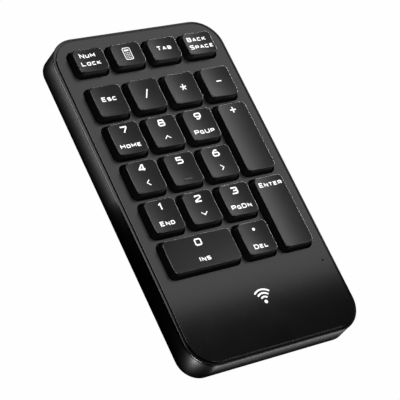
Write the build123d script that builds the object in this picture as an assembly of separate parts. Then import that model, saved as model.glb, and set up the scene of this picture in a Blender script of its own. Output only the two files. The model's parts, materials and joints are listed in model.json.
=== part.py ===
from build123d import *

import os
from dataclasses import dataclass
from math import asin, atan, cos, degrees, sin

# Wireless numeric keypad, built as the separate pieces that it comes apart into.
#
# Frame: millimetres, +X to the right, +Y to the back, +Z up. The origin is on the desk, under the
# centre of the case, so Z = 0 is the plane that the rubber feet stand on.

# ---------------------------------------------------------------- driving dimensions
KEY_PITCH = 19.05  # the standard spacing of full-size keys
CASE_WIDTH = 88.6
CASE_LENGTH = 159.5
CASE_HEIGHT = 13.5  # from the underside of the base to the key deck
CORNER_RADIUS = 13.2
FOOT_PROUD = 0.8

# Allowances used by every shape
CUT = 1.0  # how far a cutting shape runs past the face that it cuts
WELD = 0.2  # how far two shapes that are joined sink into each other

# Heights of the case, from the desk up
BASE_Z = FOOT_PROUD
FLOOR_TOP_Z = BASE_Z + 1.6
DECK_Z = BASE_Z + CASE_HEIGHT
DECK_THICKNESS = 1.45
DECK_UNDER_Z = DECK_Z - DECK_THICKNESS
RIM_Z = DECK_Z - 0.3  # top of the narrow rim round the raised deck
RIM_UNDER_Z = DECK_Z - 1.15
SEAM_WIDTH = 0.5  # the open seam under the rim
SEAM_LOW_Z = RIM_UNDER_Z - SEAM_WIDTH  # top of the base's wall

# Case details
RIM_WIDTH = 0.75
RIM_EDGE_RADIUS = 0.4
DECK_INSET = 1.45  # cover edge to the raised deck, across the rim and its groove
DECK_EDGE_RADIUS = 0.3
GROOVE_DEPTH = 0.65
BASE_DRAFT = 0.65  # how far the base's wall leans in, seam to floor
BASE_SEAM_INSET = 0.1
BASE_LOW_CORNER_RADIUS = 9.5  # the base's corners tighten towards the floor
BASE_EDGE_RADIUS = 1.0
CAVITY_INSET = 2.5  # cover edge to the inside of the base's wall
LIP_THICKNESS = 1.0
LIP_DEPTH = 1.9
LIP_CLEARANCE = 0.1
LIP_LOW_Z = DECK_UNDER_Z - LIP_DEPTH
PINHOLE_RADIUS = 0.45

# Keys
KEY_PROUD = 3.7
KEY_TOP_Z = DECK_Z + KEY_PROUD
KEY_TRAVEL = 2.6
KEY_TOP_SIZE = 15.1
SHORT_KEY_DEPTH = 11.3  # the function row's keys, front to back
KEY_CORNER_RADIUS = 2.2
KEY_EDGE_RADIUS = 0.45
KEY_DISH_DEPTH = 0.3
KEY_DISH_RADIUS = 95.0
KEY_FLARE = 0.5  # how much wider each side is at the skirt
KEY_SKIRT_Z = DECK_Z - 1.3
KEY_CROWN_THICKNESS = 1.5
KEY_WALL = 1.2
OPENING_MARGIN = 1.15  # key top to the edge of its opening in the deck
OPENING_RADIUS = 3.0
OPENING_EDGE = 0.25
OPENING_EDGE_OVERRUN = 0.1  # how far the cut for that bevel rises over the deck
HOME_BAR_LENGTH = 4.4
HOME_BAR_RADIUS = 0.32
HOME_BAR_INSET = 2.2  # front edge of the key's top to the bar
HOME_BAR_SINK = 0.22

# Key rows, front to back centre lines; row 0 is the short function row
ROW_ZERO_Y = 65.8
ROW_ONE_Y = 44.85

# The stack under the keys, from the base's floor up
PLATE_Z = 4.1
PLATE_THICKNESS = 0.6
FILM_THICKNESS = 0.1
FILM_Z = PLATE_Z + PLATE_THICKNESS
DOME_SHEET_Z = FILM_Z + 3 * FILM_THICKNESS
DOME_SHEET_THICKNESS = 0.3
FRAME_Z = DOME_SHEET_Z + DOME_SHEET_THICKNESS
FRAME_THICKNESS = 1.2
FRAME_TOP_Z = FRAME_Z + FRAME_THICKNESS
STACK_X = 37.0
STACK_BACK_Y = 73.4
STACK_FRONT_Y = -40.9
RIB_THICKNESS = 1.2
RIB_END_GAP = 3.0  # edge of the stack to the ends of the ribs under it
RIB_HALF_WIDTH = 34.0
RIBS_X = (-28.6, -9.5, 9.5, 28.6)
RIBS_Y = (56.4, 35.3, 16.2, -2.8, -21.9)
CONTACT_HOLE_RADIUS = 2.5

# Rubber domes and the plungers that press them
DOME_BASE_RADIUS = 4.0
DOME_TOP_RADIUS = 2.3
DOME_TOP_Z = 8.05
DOME_WALL = 0.5
DOME_CROWN = 0.8
DOME_NUB_RADIUS = 1.2
DOME_NUB_GAP = 1.0  # how far the nub must travel to press the films together
CHAMBER_RADIUS = 4.3
CHAMBER_OUTER_RADIUS = 5.3
LEDGE_Z = 8.8
LEDGE_TOP_Z = 9.6
STEM_RADIUS = 2.5
STEM_CLEARANCE = 0.08
STEM_BARB_RADIUS = 3.0
STEM_BARB_HEIGHT = 0.6
STEM_BOTTOM_Z = DOME_TOP_Z + 0.05
TOWER_RADIUS = 3.9
TOWER_TOP_Z = KEY_TOP_Z - KEY_CROWN_THICKNESS - KEY_TRAVEL - 0.2  # clear of a pressed key's crown

# Stabiliser wires of the double-size keys: a U whose arms turn in lugs on the key frame
WIRE_RADIUS = 0.6
WIRE_HALF_SPAN = 10.5
WIRE_ARM = 6.0
WIRE_END = 1.8
WIRE_BAR_OFFSET = 5.2  # key centre to the bar at half travel
WIRE_PIVOT_Z = 11.7
WIRE_SWING = asin(KEY_TRAVEL / 2 / WIRE_ARM)  # the arms lean up by this at rest, down when pressed
WIRE_PIVOT_Y = WIRE_BAR_OFFSET - WIRE_ARM
CLIP_X = 7.6
CLIP_WIDTH = 1.8
CLIP_DEPTH = 2.8
CLIP_SLOT_DEPTH = 1.7
CLIP_SLOT_HEIGHT = 1.44
CLIP_LIP = 1.2  # middle of the slot to the clip's lower end
LUG_THICKNESS = 1.4
LUG_DEPTH = 3.0
LUG_GAP = 0.1
LUG_BORE_CLEARANCE = 0.05

# Screws
SCREW_RADIUS = 0.95
SCREW_HOLE_RADIUS = 1.0
CASE_SCREW_HEAD_RADIUS = 1.8
CASE_SCREW_HEAD_HEIGHT = 1.2
CASE_SCREW_SEAT_Z = 2.6
CASE_BOSS_RADIUS = 1.95
CASE_BOSS_FOOT_Z = 4.0
CASE_SCREW_TIP_Z = 9.5
CASE_SCREWS = ((-39.4, 56.4), (39.4, 56.4), (-39.4, -2.8), (39.4, -2.8), (-33.0, -45.0), (39.4, -60.0))
SEAT_RADIUS = 2.7
SEAT_WALL_INSET = 1.5  # keeps a seat inside the base's wall
SEAT_GAP = 0.05  # top of a seat to the foot of its post
SCREW_CLEARANCE = 0.2
SCREW_TIP_Z = BASE_Z + 0.8  # tips of the screws that are driven down into the floor's posts
POST_BOTTOM_Z = BASE_Z + 0.5  # bottoms of those posts' holes
SCREW_EDGE_RADIUS = 0.35
RECESS_LENGTH = 2.0
RECESS_WIDTH = 0.45
RECESS_DEPTH = 0.5
FRAME_SCREW_HEAD_RADIUS = 1.9
FRAME_SCREW_HEAD_HEIGHT = 1.0
FRAME_POST_RADIUS = 2.4
FRAME_SCREWS = (
    (-KEY_PITCH, 35.3), (KEY_PITCH, 35.3), (-KEY_PITCH, -2.8), (KEY_PITCH, -2.8), (0.0, 56.4), (0.0, -21.9)
)

# Battery bay: two AAA cells side by side, lying along X
BAY_X = (-38.5, 13.5)
BAY_Y = (-71.8, -49.2)
BAY_WALL = 1.2
BAY_TOP_Z = 12.6
CELL_RADIUS = 5.2
CELL_LENGTH = 44.5
CELL_NUB_RADIUS = 1.9
CELL_NUB_LENGTH = 1.0
CELL_Z = 7.4
CELL_BACK_Y = -55.1
CELL_FRONT_Y = -65.9
CELL_EDGE_RADIUS = 0.4
CELL_GAP = 0.05  # a cell's nub to the dimple that it meets
BAY_BUTTRESS = 1.5  # square posts in the bay's corners, behind the contacts
BAY_BUTTRESS_TOP_Z = BAY_TOP_Z - 2.0
CONTACT_THICKNESS = 0.4
CONTACT_HALF_WIDTH = 3.2
CONTACT_GAP = 0.1  # back of a contact to the bay's end wall
CONTACT_Z = (3.2, 12.2)
CONTACT_DIMPLE = 0.6
DIMPLE_RADII = (1.6, 0.9)
DIMPLE_SINK = 0.1  # how far a dimple's foot sinks into its plate
SPRING_WIRE_RADIUS = 0.3
SPRING_RADIUS = 3.6
SPRING_PITCH = 1.35
SPRING_LENGTH = 4.7
SPRING_TAPER = 14.0
TAB_Z = (11.1, 11.5)
TAB_HALF_WIDTH = 0.9
TAB_REACH = 1.6
TAB_NOTCH_HALF_WIDTH = 1.2
TAB_NOTCH_Z = 10.0
LEAD_RADIUS = 0.5
LEAD_START_Z = 12.05
LEAD_MIDDLE_Z = 11.2
LEAD_REACH = 1.2
LEAD_END_GAP = 0.1  # a lead's lower end to the board
POSITIVE_LEAD_END = (17.6, -49.0)
NEGATIVE_LEAD_END = (17.2, -54.0)
DOOR_GAP = 0.15
DOOR_THICKNESS = 1.2
DOOR_TONGUE_X = (-26.0, 1.0)
DOOR_TONGUE_WIDTH = 6.0
DOOR_TONGUE_REACH = 1.8
DOOR_TONGUE_THICKNESS = 0.9
DOOR_TONGUE_GAP = 0.1  # the base's floor to the tongue over it
DOOR_TONGUE_ROOT = 1.6  # bay's back edge to the front of a tongue
DOOR_TONGUE_NECK = 0.4  # bay's back edge to the back of a tongue's neck
DOOR_CORNER_RADIUS = 0.6
DOOR_SLOT_MARGIN = 0.3  # room each side of a tongue or of the latch
DOOR_SLOT_REACH = 2.6
DOOR_SLOT_TOP_Z = 4.6
LATCH_WIDTH = 10.0
LATCH_X = (BAY_X[0] + BAY_X[1]) / 2
LATCH_TOP_Z = 4.4  # clear of the front cell
LATCH_WINDOW_TOP_Z = 4.2
LATCH_NOSE_Y = BAY_Y[0] + 0.25
LATCH_NOSE_REACH = 0.3
LATCH_THICKNESS = 0.9
LATCH_NOSE_Z = (FLOOR_TOP_Z + 0.15, FLOOR_TOP_Z + 0.9)
GRIP_GROOVES = 4
GRIP_PITCH = 1.1
GRIP_WIDTH = 0.5
GRIP_DEPTH = 0.35
GRIP_START = 2.2  # bay's front edge to the first groove

# Nano receiver and its bay
RECEIVER_Y = -64.0
RECEIVER_Z = 4.5
RECEIVER_PLUG_X = 17.2
USB_PLUG_WIDTH = 12.0
USB_PLUG_THICKNESS = 4.5
USB_PLUG_LENGTH = 12.2
USB_SHELL_WALL = 0.35
CAP_WIDTH = 14.6
CAP_THICKNESS = 6.3
CAP_LENGTH = 6.3
RECEIVER_CLEARANCE = 0.25
RECEIVER_BAY_CEILING_Z = 7.9
RECEIVER_BAY_WALL = 1.0
SCOOP_RADIUS = 8.0
SCOOP_DEPTH = 1.0
CAP_EDGE_RADIUS = 0.4
CAP_NOTCHES = 5
CAP_NOTCH_RADIUS = 0.45
CAP_SOCKET_DEPTH = 3.0
CAP_SOCKET_GAP = 0.02
SHELL_END_GAP = 0.1  # the sleeve's end to the bottom of the cap's socket
TONGUE_END_GAP = 0.2
SHELL_EDGE_RADIUS = 0.5
SHELL_WINDOW_X = RECEIVER_PLUG_X + 5.2
SHELL_WINDOW_SIZE = (2.2, 2.4)
SHELL_WINDOW_Y = 2.9  # middle of the plug to the middle of each window
SHELL_BUMP_X = RECEIVER_PLUG_X + 10.8
SHELL_BUMP_RADIUS = 0.9
SHELL_BUMP_SINK = 0.02  # keeps the bumps inside the sleeve's lower face
TONGUE_GAP = 0.05
TONGUE_SETBACK = 0.4
TONGUE_THICKNESS = 1.9
TONGUE_HALF_WIDTH = USB_PLUG_WIDTH / 2 - USB_SHELL_WALL - TONGUE_GAP
TONGUE_TOP_Z = RECEIVER_Z + USB_PLUG_THICKNESS / 2 - USB_SHELL_WALL - TONGUE_GAP
CONTACT_GROOVE_HALF_WIDTH = 0.5
CONTACT_GROOVE_DEPTH = 0.15
INNER_CONTACT_OFFSET = 1.0
OUTER_CONTACT_OFFSET = 3.5
INNER_CONTACT_X = (RECEIVER_PLUG_X + 2.4, RECEIVER_PLUG_X + 9.0)
OUTER_CONTACT_X = (RECEIVER_PLUG_X + 1.4, RECEIVER_PLUG_X + 9.0)
PLUG_CONTACTS = (  # each contact's middle and its length along the plug
    (RECEIVER_Y - OUTER_CONTACT_OFFSET, OUTER_CONTACT_X),
    (RECEIVER_Y - INNER_CONTACT_OFFSET, INNER_CONTACT_X),
    (RECEIVER_Y + INNER_CONTACT_OFFSET, INNER_CONTACT_X),
    (RECEIVER_Y + OUTER_CONTACT_OFFSET, OUTER_CONTACT_X),
)
PLUG_CONTACT_THICKNESS = 0.25
PLUG_CONTACT_SINK = 0.03
PLUG_CONTACT_GAP = 0.02

# Electronics
BOARD_X = (15.9, 40.1)
BOARD_Y = (-54.8, -41.9)
BOARD_Z = FILM_Z - 1.0
BOARD_TOP_Z = FILM_Z
TAIL_X = (19.5, 33.5)
TAIL_FRONT_Y = -47.5
BOARD_CORNER_RADIUS = 0.8
BOARD_POST_RADIUS = 1.8
BOARD_SCREW_HEAD_RADIUS = 1.7
BOARD_SCREW_HEAD_HEIGHT = 0.9
BOARD_SCREWS = ((19.4, BOARD_Y[0] + 2.3), (37.8, BOARD_Y[0] + 2.3))
CLAMP_SCREWS = ((18.2, BOARD_Y[1] - 2.4), (34.8, BOARD_Y[1] - 2.4))
CLAMP_TOP_Z = BOARD_TOP_Z + 2.4
CLAMP_DEPTH = 4.0
CLAMP_END = 2.1  # clamp screw to the end of the clamp bar
CLAMP_CORNER_RADIUS = 1.6
LED_X, LED_Y = 38.3, -47.2
LED_HEIGHT = 1.0
LED_SIZE = (2.0, 1.4, LED_HEIGHT)
CONTROLLER_PLACE = (24.0, -51.6)
CONTROLLER_SIZE = (4.0, 4.0, 0.9)
CRYSTAL_PLACE = (30.4, -52.4)
CRYSTAL_SIZE = (3.2, 2.5, 0.8)
CHIP_EDGE = 0.1
PIPE_GAP = 0.3  # indicator to the pipe's lower end
PIPE_SHOULDER_GAP = 0.1  # the pipe's shoulder to the deck's underside
PIPE_TIP_OVERLAP = 0.5  # how far the thin tip sinks into the pipe
PIPE_RADIUS = 1.2
PIPE_TIP_RADIUS = 0.4
PIPE_TIP_DEPTH = 0.7  # how far the pipe's tip stays below the deck's face
SWITCH_X, SWITCH_Y = 27.0, -50.0
SWITCH_TRAVEL = 2.0
SWITCH_BODY_SIZE = (9.2, 4.4)
SWITCH_OPENING_SIZE = (6.4, 2.6)
SWITCH_WINDOW_SIZE = (8.0, 3.4)
SWITCH_WINDOW_RADIUS = 0.8
SWITCH_ROOF = 0.4
SWITCH_GAP = 0.05
KNOB_SIZE = (3.8, 2.4)
KNOB_RECESS = 0.15  # how far the knob sits inside the base's underside
KNOB_ROOF_GAP = 0.1
KNOB_GROOVES = (-1.0, 0.0, 1.0)
KNOB_GROOVE_WIDTH = 0.4
KNOB_GROOVE_DEPTH = 0.3

# Feet
FOOT_SIZE = (16.0, 4.0)
FOOT_RECESS = 0.4
FOOT_CORNER_RADIUS = 1.5
FOOT_GAP = 0.1
FOOT_EDGE_RADIUS = 0.25
FOOT_PLACES = ((-24.0, -74.4), (24.0, -74.4), (-24.0, 74.4), (24.0, 74.4))


# ---------------------------------------------------------------- keys and their places
@dataclass
class Key:
    """One key: the size of its top face and the centre that its plunger is on."""

    node: str
    column: float
    row: int
    columns_wide: int = 1
    rows_tall: int = 1

    @property
    def x(self):
        return (self.column + (self.columns_wide - 1) / 2 - 1.5) * KEY_PITCH

    @property
    def y(self):
        if self.row == 0:
            return ROW_ZERO_Y
        return ROW_ONE_Y - (self.row - 1 + (self.rows_tall - 1) / 2) * KEY_PITCH

    @property
    def width(self):
        return KEY_TOP_SIZE + (self.columns_wide - 1) * KEY_PITCH

    @property
    def depth(self):
        if self.row == 0:
            return SHORT_KEY_DEPTH
        return KEY_TOP_SIZE + (self.rows_tall - 1) * KEY_PITCH

    @property
    def is_double(self):
        return self.columns_wide > 1 or self.rows_tall > 1


KEYS = (
    Key("key_num_lock", 0, 0), Key("key_calculator", 1, 0),
    Key("key_tab", 2, 0), Key("key_backspace", 3, 0),
    Key("key_escape", 0, 1), Key("key_divide", 1, 1), Key("key_multiply", 2, 1), Key("key_minus", 3, 1),
    Key("key_7", 0, 2), Key("key_8", 1, 2), Key("key_9", 2, 2), Key("key_plus", 3, 2, rows_tall=2),
    Key("key_4", 0, 3), Key("key_5", 1, 3), Key("key_6", 2, 3),
    Key("key_1", 0, 4), Key("key_2", 1, 4), Key("key_3", 2, 4), Key("key_enter", 3, 4, rows_tall=2),
    Key("key_0", 0, 5, columns_wide=2), Key("key_decimal", 2, 5),
)


# ---------------------------------------------------------------- small shape helpers
def disc(x, y, low_z, high_z, radius):
    """An upright cylinder between two heights."""
    return Pos(x, y, (low_z + high_z) / 2) * Cylinder(radius, high_z - low_z)


def block(x_range, y_range, z_range):
    """A box given by its low and high ends along each axis."""
    size = [high - low for low, high in (x_range, y_range, z_range)]
    centre = [(high + low) / 2 for low, high in (x_range, y_range, z_range)]
    return Pos(*centre) * Box(*size)


def rounded_block(x, y, width, depth, radius, low_z, high_z):
    """An upright block with rounded corners, centred on (x, y)."""
    return extrude(Pos(x, y, low_z) * RectangleRounded(width, depth, radius), high_z - low_z)


def span(middle, size):
    """The low and high ends of a length centred on a place."""
    return (middle - size / 2, middle + size / 2)


def joined(shapes):
    """Several shapes joined into one."""
    whole, *others = shapes
    for other in others:
        whole += other
    return whole


def case_outline(inset, low_z, high_z):
    """A slab of the case's plan outline, drawn in by an inset all round."""
    width = CASE_WIDTH - 2 * inset
    length = CASE_LENGTH - 2 * inset
    return rounded_block(0, 0, width, length, CORNER_RADIUS - inset, low_z, high_z)


def rounded_slice(x, y, z, width, depth, radius):
    """A level rounded rectangle, used as one end of a loft."""
    return Pos(x, y, z) * RectangleRounded(width, depth, radius)


def edges_at_height(shape, z):
    """The edges that lie wholly in the level plane at z."""
    found = []
    for edge in shape.edges():
        box = edge.bounding_box()
        if abs(box.min.Z - z) < 1e-3 and abs(box.max.Z - z) < 1e-3:
            found.append(edge)
    return found


def stack_layer(low_z, thickness):
    """One flat layer of the stack under the keys, with the frame screws' holes."""
    layer = block((-STACK_X, STACK_X), (STACK_FRONT_Y, STACK_BACK_Y), (low_z, low_z + thickness))
    for x, y in FRAME_SCREWS:
        layer -= disc(x, y, low_z - CUT, low_z + thickness + CUT, SCREW_HOLE_RADIUS)
    return layer


def placed_on_key(key, shape):
    """Moves a shape drawn for a key lying along X at the origin onto its key."""
    turn = 90 if key.rows_tall > 1 else 0
    return Pos(key.x, key.y, 0) * Rot(0, 0, turn) * shape


# ---------------------------------------------------------------- the case
def key_opening(key):
    """The hole in the deck for one key, with a fine bevel round its top edge."""
    width = key.width + 2 * OPENING_MARGIN
    depth = key.depth + 2 * OPENING_MARGIN
    hole = rounded_block(key.x, key.y, width, depth, OPENING_RADIUS, DECK_UNDER_Z - CUT, DECK_Z + CUT)
    grown = OPENING_EDGE + OPENING_EDGE_OVERRUN
    top_z = DECK_Z + OPENING_EDGE_OVERRUN
    bevel = loft([
        rounded_slice(key.x, key.y, DECK_Z - OPENING_EDGE, width, depth, OPENING_RADIUS),
        rounded_slice(key.x, key.y, top_z, width + 2 * grown, depth + 2 * grown, OPENING_RADIUS + grown),
    ])
    return hole + bevel


def deck_and_rim():
    """The cover's plate: a raised deck, a groove round it and a lower, narrow rim."""
    rim = case_outline(0, RIM_UNDER_Z, RIM_Z)
    rim = fillet(edges_at_height(rim, RIM_Z), RIM_EDGE_RADIUS)
    deck = case_outline(DECK_INSET, DECK_UNDER_Z, DECK_Z)
    deck = fillet(edges_at_height(deck, DECK_Z), DECK_EDGE_RADIUS)
    groove_z = DECK_Z - GROOVE_DEPTH
    groove = case_outline(RIM_WIDTH, groove_z, DECK_Z)
    groove -= case_outline(DECK_INSET, groove_z - CUT, DECK_Z + CUT)
    return rim + deck - groove


def cover_lip():
    """The ring under the cover that lines it up inside the base's wall."""
    outer_inset = CAVITY_INSET + LIP_CLEARANCE
    lip = case_outline(outer_inset, LIP_LOW_Z, DECK_UNDER_Z + WELD)
    return lip - case_outline(outer_inset + LIP_THICKNESS, LIP_LOW_Z - CUT, DECK_UNDER_Z + CUT)


def make_top_case():
    """The cover: grooved plate, alignment lip and the posts that the case screws bite into."""
    cover = deck_and_rim() + cover_lip()
    for key in KEYS:
        cover -= key_opening(key)
    for x, y in CASE_SCREWS:
        cover += disc(x, y, CASE_BOSS_FOOT_Z, DECK_UNDER_Z + WELD, CASE_BOSS_RADIUS)
        cover -= disc(x, y, CASE_BOSS_FOOT_Z - CUT, CASE_SCREW_TIP_Z + CUT, SCREW_HOLE_RADIUS)
    cover -= disc(LED_X, LED_Y, DECK_UNDER_Z - CUT, DECK_Z + CUT, PINHOLE_RADIUS)
    return cover


def lip_space():
    """The ring of room inside the base's wall that the cover's lip drops into."""
    low_z = LIP_LOW_Z - LIP_CLEARANCE
    inner_inset = CAVITY_INSET + LIP_THICKNESS + 2 * LIP_CLEARANCE
    return case_outline(CAVITY_INSET, low_z, DECK_Z) - case_outline(inner_inset, low_z - CUT, DECK_Z + CUT)


def add_screw_seats(base):
    """Cups in the floor that the case screws' heads sit in."""
    for x, y in CASE_SCREWS:
        seat = disc(x, y, FLOOR_TOP_Z - WELD, CASE_BOSS_FOOT_Z - SEAT_GAP, SEAT_RADIUS)
        base += seat & case_outline(SEAT_WALL_INSET, 0, DECK_Z)
        base -= disc(x, y, BASE_Z - CUT, CASE_SCREW_SEAT_Z, CASE_SCREW_HEAD_RADIUS + SCREW_CLEARANCE)
        base -= disc(x, y, BASE_Z - CUT, CASE_BOSS_FOOT_Z + CUT, SCREW_HOLE_RADIUS + SCREW_CLEARANCE)
    return base


def add_posts(base, places, radius, top_z):
    """Drilled posts on the floor that a set of screws is driven into."""
    for x, y in places:
        base += disc(x, y, FLOOR_TOP_Z - WELD, top_z, radius)
        base -= disc(x, y, POST_BOTTOM_Z, top_z + CUT, SCREW_HOLE_RADIUS)
    return base


def add_stack_supports(base):
    """Ribs that carry the steel plate, and posts for the frame screws."""
    rib_z = (FLOOR_TOP_Z - WELD, PLATE_Z)
    for x in RIBS_X:
        rib_y = (STACK_FRONT_Y + RIB_END_GAP, STACK_BACK_Y - RIB_END_GAP)
        base += block(span(x, RIB_THICKNESS), rib_y, rib_z)
    for y in RIBS_Y:
        base += block((-RIB_HALF_WIDTH, RIB_HALF_WIDTH), span(y, RIB_THICKNESS), rib_z)
    return add_posts(base, FRAME_SCREWS, FRAME_POST_RADIUS, PLATE_Z)


def bay_box():
    """The battery bay's walls, with a square post in each corner."""
    low_z = FLOOR_TOP_Z - WELD
    walls = block(
        (BAY_X[0] - BAY_WALL, BAY_X[1] + BAY_WALL),
        (BAY_Y[0] - BAY_WALL, BAY_Y[1] + BAY_WALL),
        (low_z, BAY_TOP_Z),
    )
    walls -= block(BAY_X, BAY_Y, (low_z - CUT, BAY_TOP_Z + CUT))
    for x in (BAY_X[0], BAY_X[1] - BAY_BUTTRESS):
        for y in (BAY_Y[0], BAY_Y[1] - BAY_BUTTRESS):
            post_z = (FLOOR_TOP_Z, BAY_BUTTRESS_TOP_Z)
            walls += block((x, x + BAY_BUTTRESS), (y, y + BAY_BUTTRESS), post_z)
    return walls


def add_battery_bay(base):
    """The open-bottomed box that holds the two cells, with its tongue slots and latch window."""
    base -= block(BAY_X, BAY_Y, (BASE_Z - CUT, FLOOR_TOP_Z + CUT))
    base += bay_box()
    for x in DOOR_TONGUE_X:
        slot_x = span(x, DOOR_TONGUE_WIDTH + 2 * DOOR_SLOT_MARGIN)
        slot_y = (BAY_Y[1] - WELD, BAY_Y[1] + DOOR_SLOT_REACH)
        base -= block(slot_x, slot_y, (FLOOR_TOP_Z, DOOR_SLOT_TOP_Z))
    window_x = span(LATCH_X, LATCH_WIDTH + 2 * DOOR_SLOT_MARGIN)
    window_y = (BAY_Y[0] - BAY_WALL - CUT, BAY_Y[0] + WELD)
    base -= block(window_x, window_y, (FLOOR_TOP_Z, LATCH_WINDOW_TOP_Z))
    for y in (CELL_BACK_Y, CELL_FRONT_Y):
        notch_x = (BAY_X[1] - WELD, BAY_X[1] + BAY_WALL + CUT)
        base -= block(notch_x, span(y, 2 * TAB_NOTCH_HALF_WIDTH), (TAB_NOTCH_Z, BAY_TOP_Z + CUT))
    return base


def receiver_bay_space(extra, low_z, high_z):
    """The T-shaped space round the stowed receiver, grown by extra all round."""
    plug_end_x = RECEIVER_PLUG_X + USB_PLUG_LENGTH
    plug_y = span(RECEIVER_Y, USB_PLUG_WIDTH + 2 * extra)
    cap_y = span(RECEIVER_Y, CAP_WIDTH + 2 * extra)
    plug = block((RECEIVER_PLUG_X - extra, plug_end_x + CUT), plug_y, (low_z, high_z))
    cap = block((plug_end_x - extra, plug_end_x + CAP_LENGTH + extra), cap_y, (low_z, high_z))
    return plug + cap


def add_receiver_bay(base):
    """A pocket in the underside for the receiver, with a scoop for a fingernail."""
    grown = RECEIVER_CLEARANCE + RECEIVER_BAY_WALL
    base += receiver_bay_space(grown, FLOOR_TOP_Z - WELD, RECEIVER_BAY_CEILING_Z + RECEIVER_BAY_WALL)
    base -= receiver_bay_space(RECEIVER_CLEARANCE, BASE_Z - CUT, RECEIVER_BAY_CEILING_Z)
    scoop_x = RECEIVER_PLUG_X + USB_PLUG_LENGTH + CAP_LENGTH
    return base - Pos(scoop_x, RECEIVER_Y, BASE_Z + SCOOP_DEPTH - SCOOP_RADIUS) * Sphere(SCOOP_RADIUS)


def add_board_posts(base):
    """Posts under the circuit board, and the power switch's window."""
    base = add_posts(base, BOARD_SCREWS + CLAMP_SCREWS, BOARD_POST_RADIUS, BOARD_Z)
    window_z = (BASE_Z - CUT, FLOOR_TOP_Z + CUT)
    return base - rounded_block(SWITCH_X, SWITCH_Y, *SWITCH_WINDOW_SIZE, SWITCH_WINDOW_RADIUS, *window_z)


def tapered_tub():
    """The base's outer shape: walls that lean in to a floor with a rounded edge."""
    ends = (
        (BASE_Z, BASE_SEAM_INSET + BASE_DRAFT, BASE_LOW_CORNER_RADIUS),
        (SEAM_LOW_Z, BASE_SEAM_INSET, CORNER_RADIUS - BASE_SEAM_INSET),
    )
    tub = loft([
        rounded_slice(0, 0, z, CASE_WIDTH - 2 * inset, CASE_LENGTH - 2 * inset, radius)
        for z, inset, radius in ends
    ])
    return fillet(edges_at_height(tub, BASE_Z), BASE_EDGE_RADIUS)


def make_bottom_case():
    """The base: tapered tub with the plate ribs, battery bay, receiver bay and screw seats."""
    base = tapered_tub() - case_outline(CAVITY_INSET, FLOOR_TOP_Z, SEAM_LOW_Z + CUT)
    base = add_stack_supports(base)
    base = add_battery_bay(base)
    base = add_receiver_bay(base)
    base = add_board_posts(base)
    base = add_screw_seats(base)
    base -= lip_space()
    for x, y in FOOT_PLACES:
        base -= rounded_block(x, y, *FOOT_SIZE, FOOT_CORNER_RADIUS, BASE_Z - CUT, BASE_Z + FOOT_RECESS)
    return base


def make_rubber_feet():
    """Four pads glued into shallow recesses under the base."""
    pads = []
    width, depth = (size - 2 * FOOT_GAP for size in FOOT_SIZE)
    for x, y in FOOT_PLACES:
        pad = rounded_block(x, y, width, depth, FOOT_CORNER_RADIUS - FOOT_GAP, 0, BASE_Z + FOOT_RECESS)
        pads.append(fillet(edges_at_height(pad, 0), FOOT_EDGE_RADIUS))
    return Compound(children=pads)


# ---------------------------------------------------------------- keys
def stem(height_top):
    """A plunger with the barb that keeps it from lifting out of its tower."""
    shaft = disc(0, 0, STEM_BOTTOM_Z, height_top, STEM_RADIUS)
    barb = disc(0, 0, STEM_BOTTOM_Z, STEM_BOTTOM_Z + STEM_BARB_HEIGHT, STEM_BARB_RADIUS)
    flat = 2 * STEM_BARB_RADIUS
    return shaft + (barb & Pos(0, 0, STEM_BOTTOM_Z) * Box(flat, STEM_RADIUS, flat))


def wire_clips():
    """Two slotted clips under a double-size key that hold the bar of its stabiliser wire."""
    crown_z = KEY_TOP_Z - KEY_CROWN_THICKNESS + WELD
    bar_y = WIRE_PIVOT_Y + WIRE_ARM * (1 + cos(WIRE_SWING)) / 2
    bar_z = WIRE_PIVOT_Z + KEY_TRAVEL / 2
    clips = []
    for x in (-CLIP_X, CLIP_X):
        clip = block(span(x, CLIP_WIDTH), span(bar_y, CLIP_DEPTH), (bar_z - CLIP_LIP, crown_z))
        slot_x = span(x, CLIP_WIDTH + 2 * CUT)
        clips.append(clip - block(slot_x, span(bar_y, CLIP_SLOT_DEPTH), span(bar_z, CLIP_SLOT_HEIGHT)))
    return joined(clips)


def dish_tool(key):
    """The round solid whose underside leaves the dished crown: a trough along a double key."""
    if key.is_double:
        tool = Rot(0, 90, 0) * Rot(0, 0, 90) * Cylinder(KEY_DISH_RADIUS, 2 * (key.width + key.depth))
    else:
        tool = Rot(90, 0, 0) * Sphere(KEY_DISH_RADIUS)
    return Pos(0, 0, KEY_TOP_Z - KEY_DISH_DEPTH + KEY_DISH_RADIUS) * tool


def cap_block(key, high_z, inset):
    """The block that a cap is made from, leaning in from its skirt up; inset for its hollow."""
    across, length = sorted((key.width, key.depth))
    grown = 2 * (KEY_FLARE - inset)
    skirt = RectangleRounded(length + grown, across + grown, KEY_CORNER_RADIUS + KEY_FLARE - inset)
    lean = degrees(atan(KEY_FLARE / (KEY_TOP_Z - KEY_SKIRT_Z)))
    return extrude(Pos(0, 0, KEY_SKIRT_Z) * skirt, high_z - KEY_SKIRT_Z, taper=lean)


def make_keycap(key):
    """A hollow cap with a dished crown, flared walls and a plunger, drawn lying along X."""
    cap = cap_block(key, KEY_TOP_Z + KEY_DISH_DEPTH, 0)
    cap -= dish_tool(key)
    crown = cap.faces().sort_by(Axis.Z)[-1]
    cap = fillet(crown.edges(), KEY_EDGE_RADIUS)
    crown_z = KEY_TOP_Z - KEY_CROWN_THICKNESS
    cap -= cap_block(key, crown_z, KEY_WALL)
    cap += stem(crown_z + WELD)
    if key.is_double:
        cap += wire_clips()
    if key.node == "key_5":
        cap += home_bar(key)
    return placed_on_key(key, cap)


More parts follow.
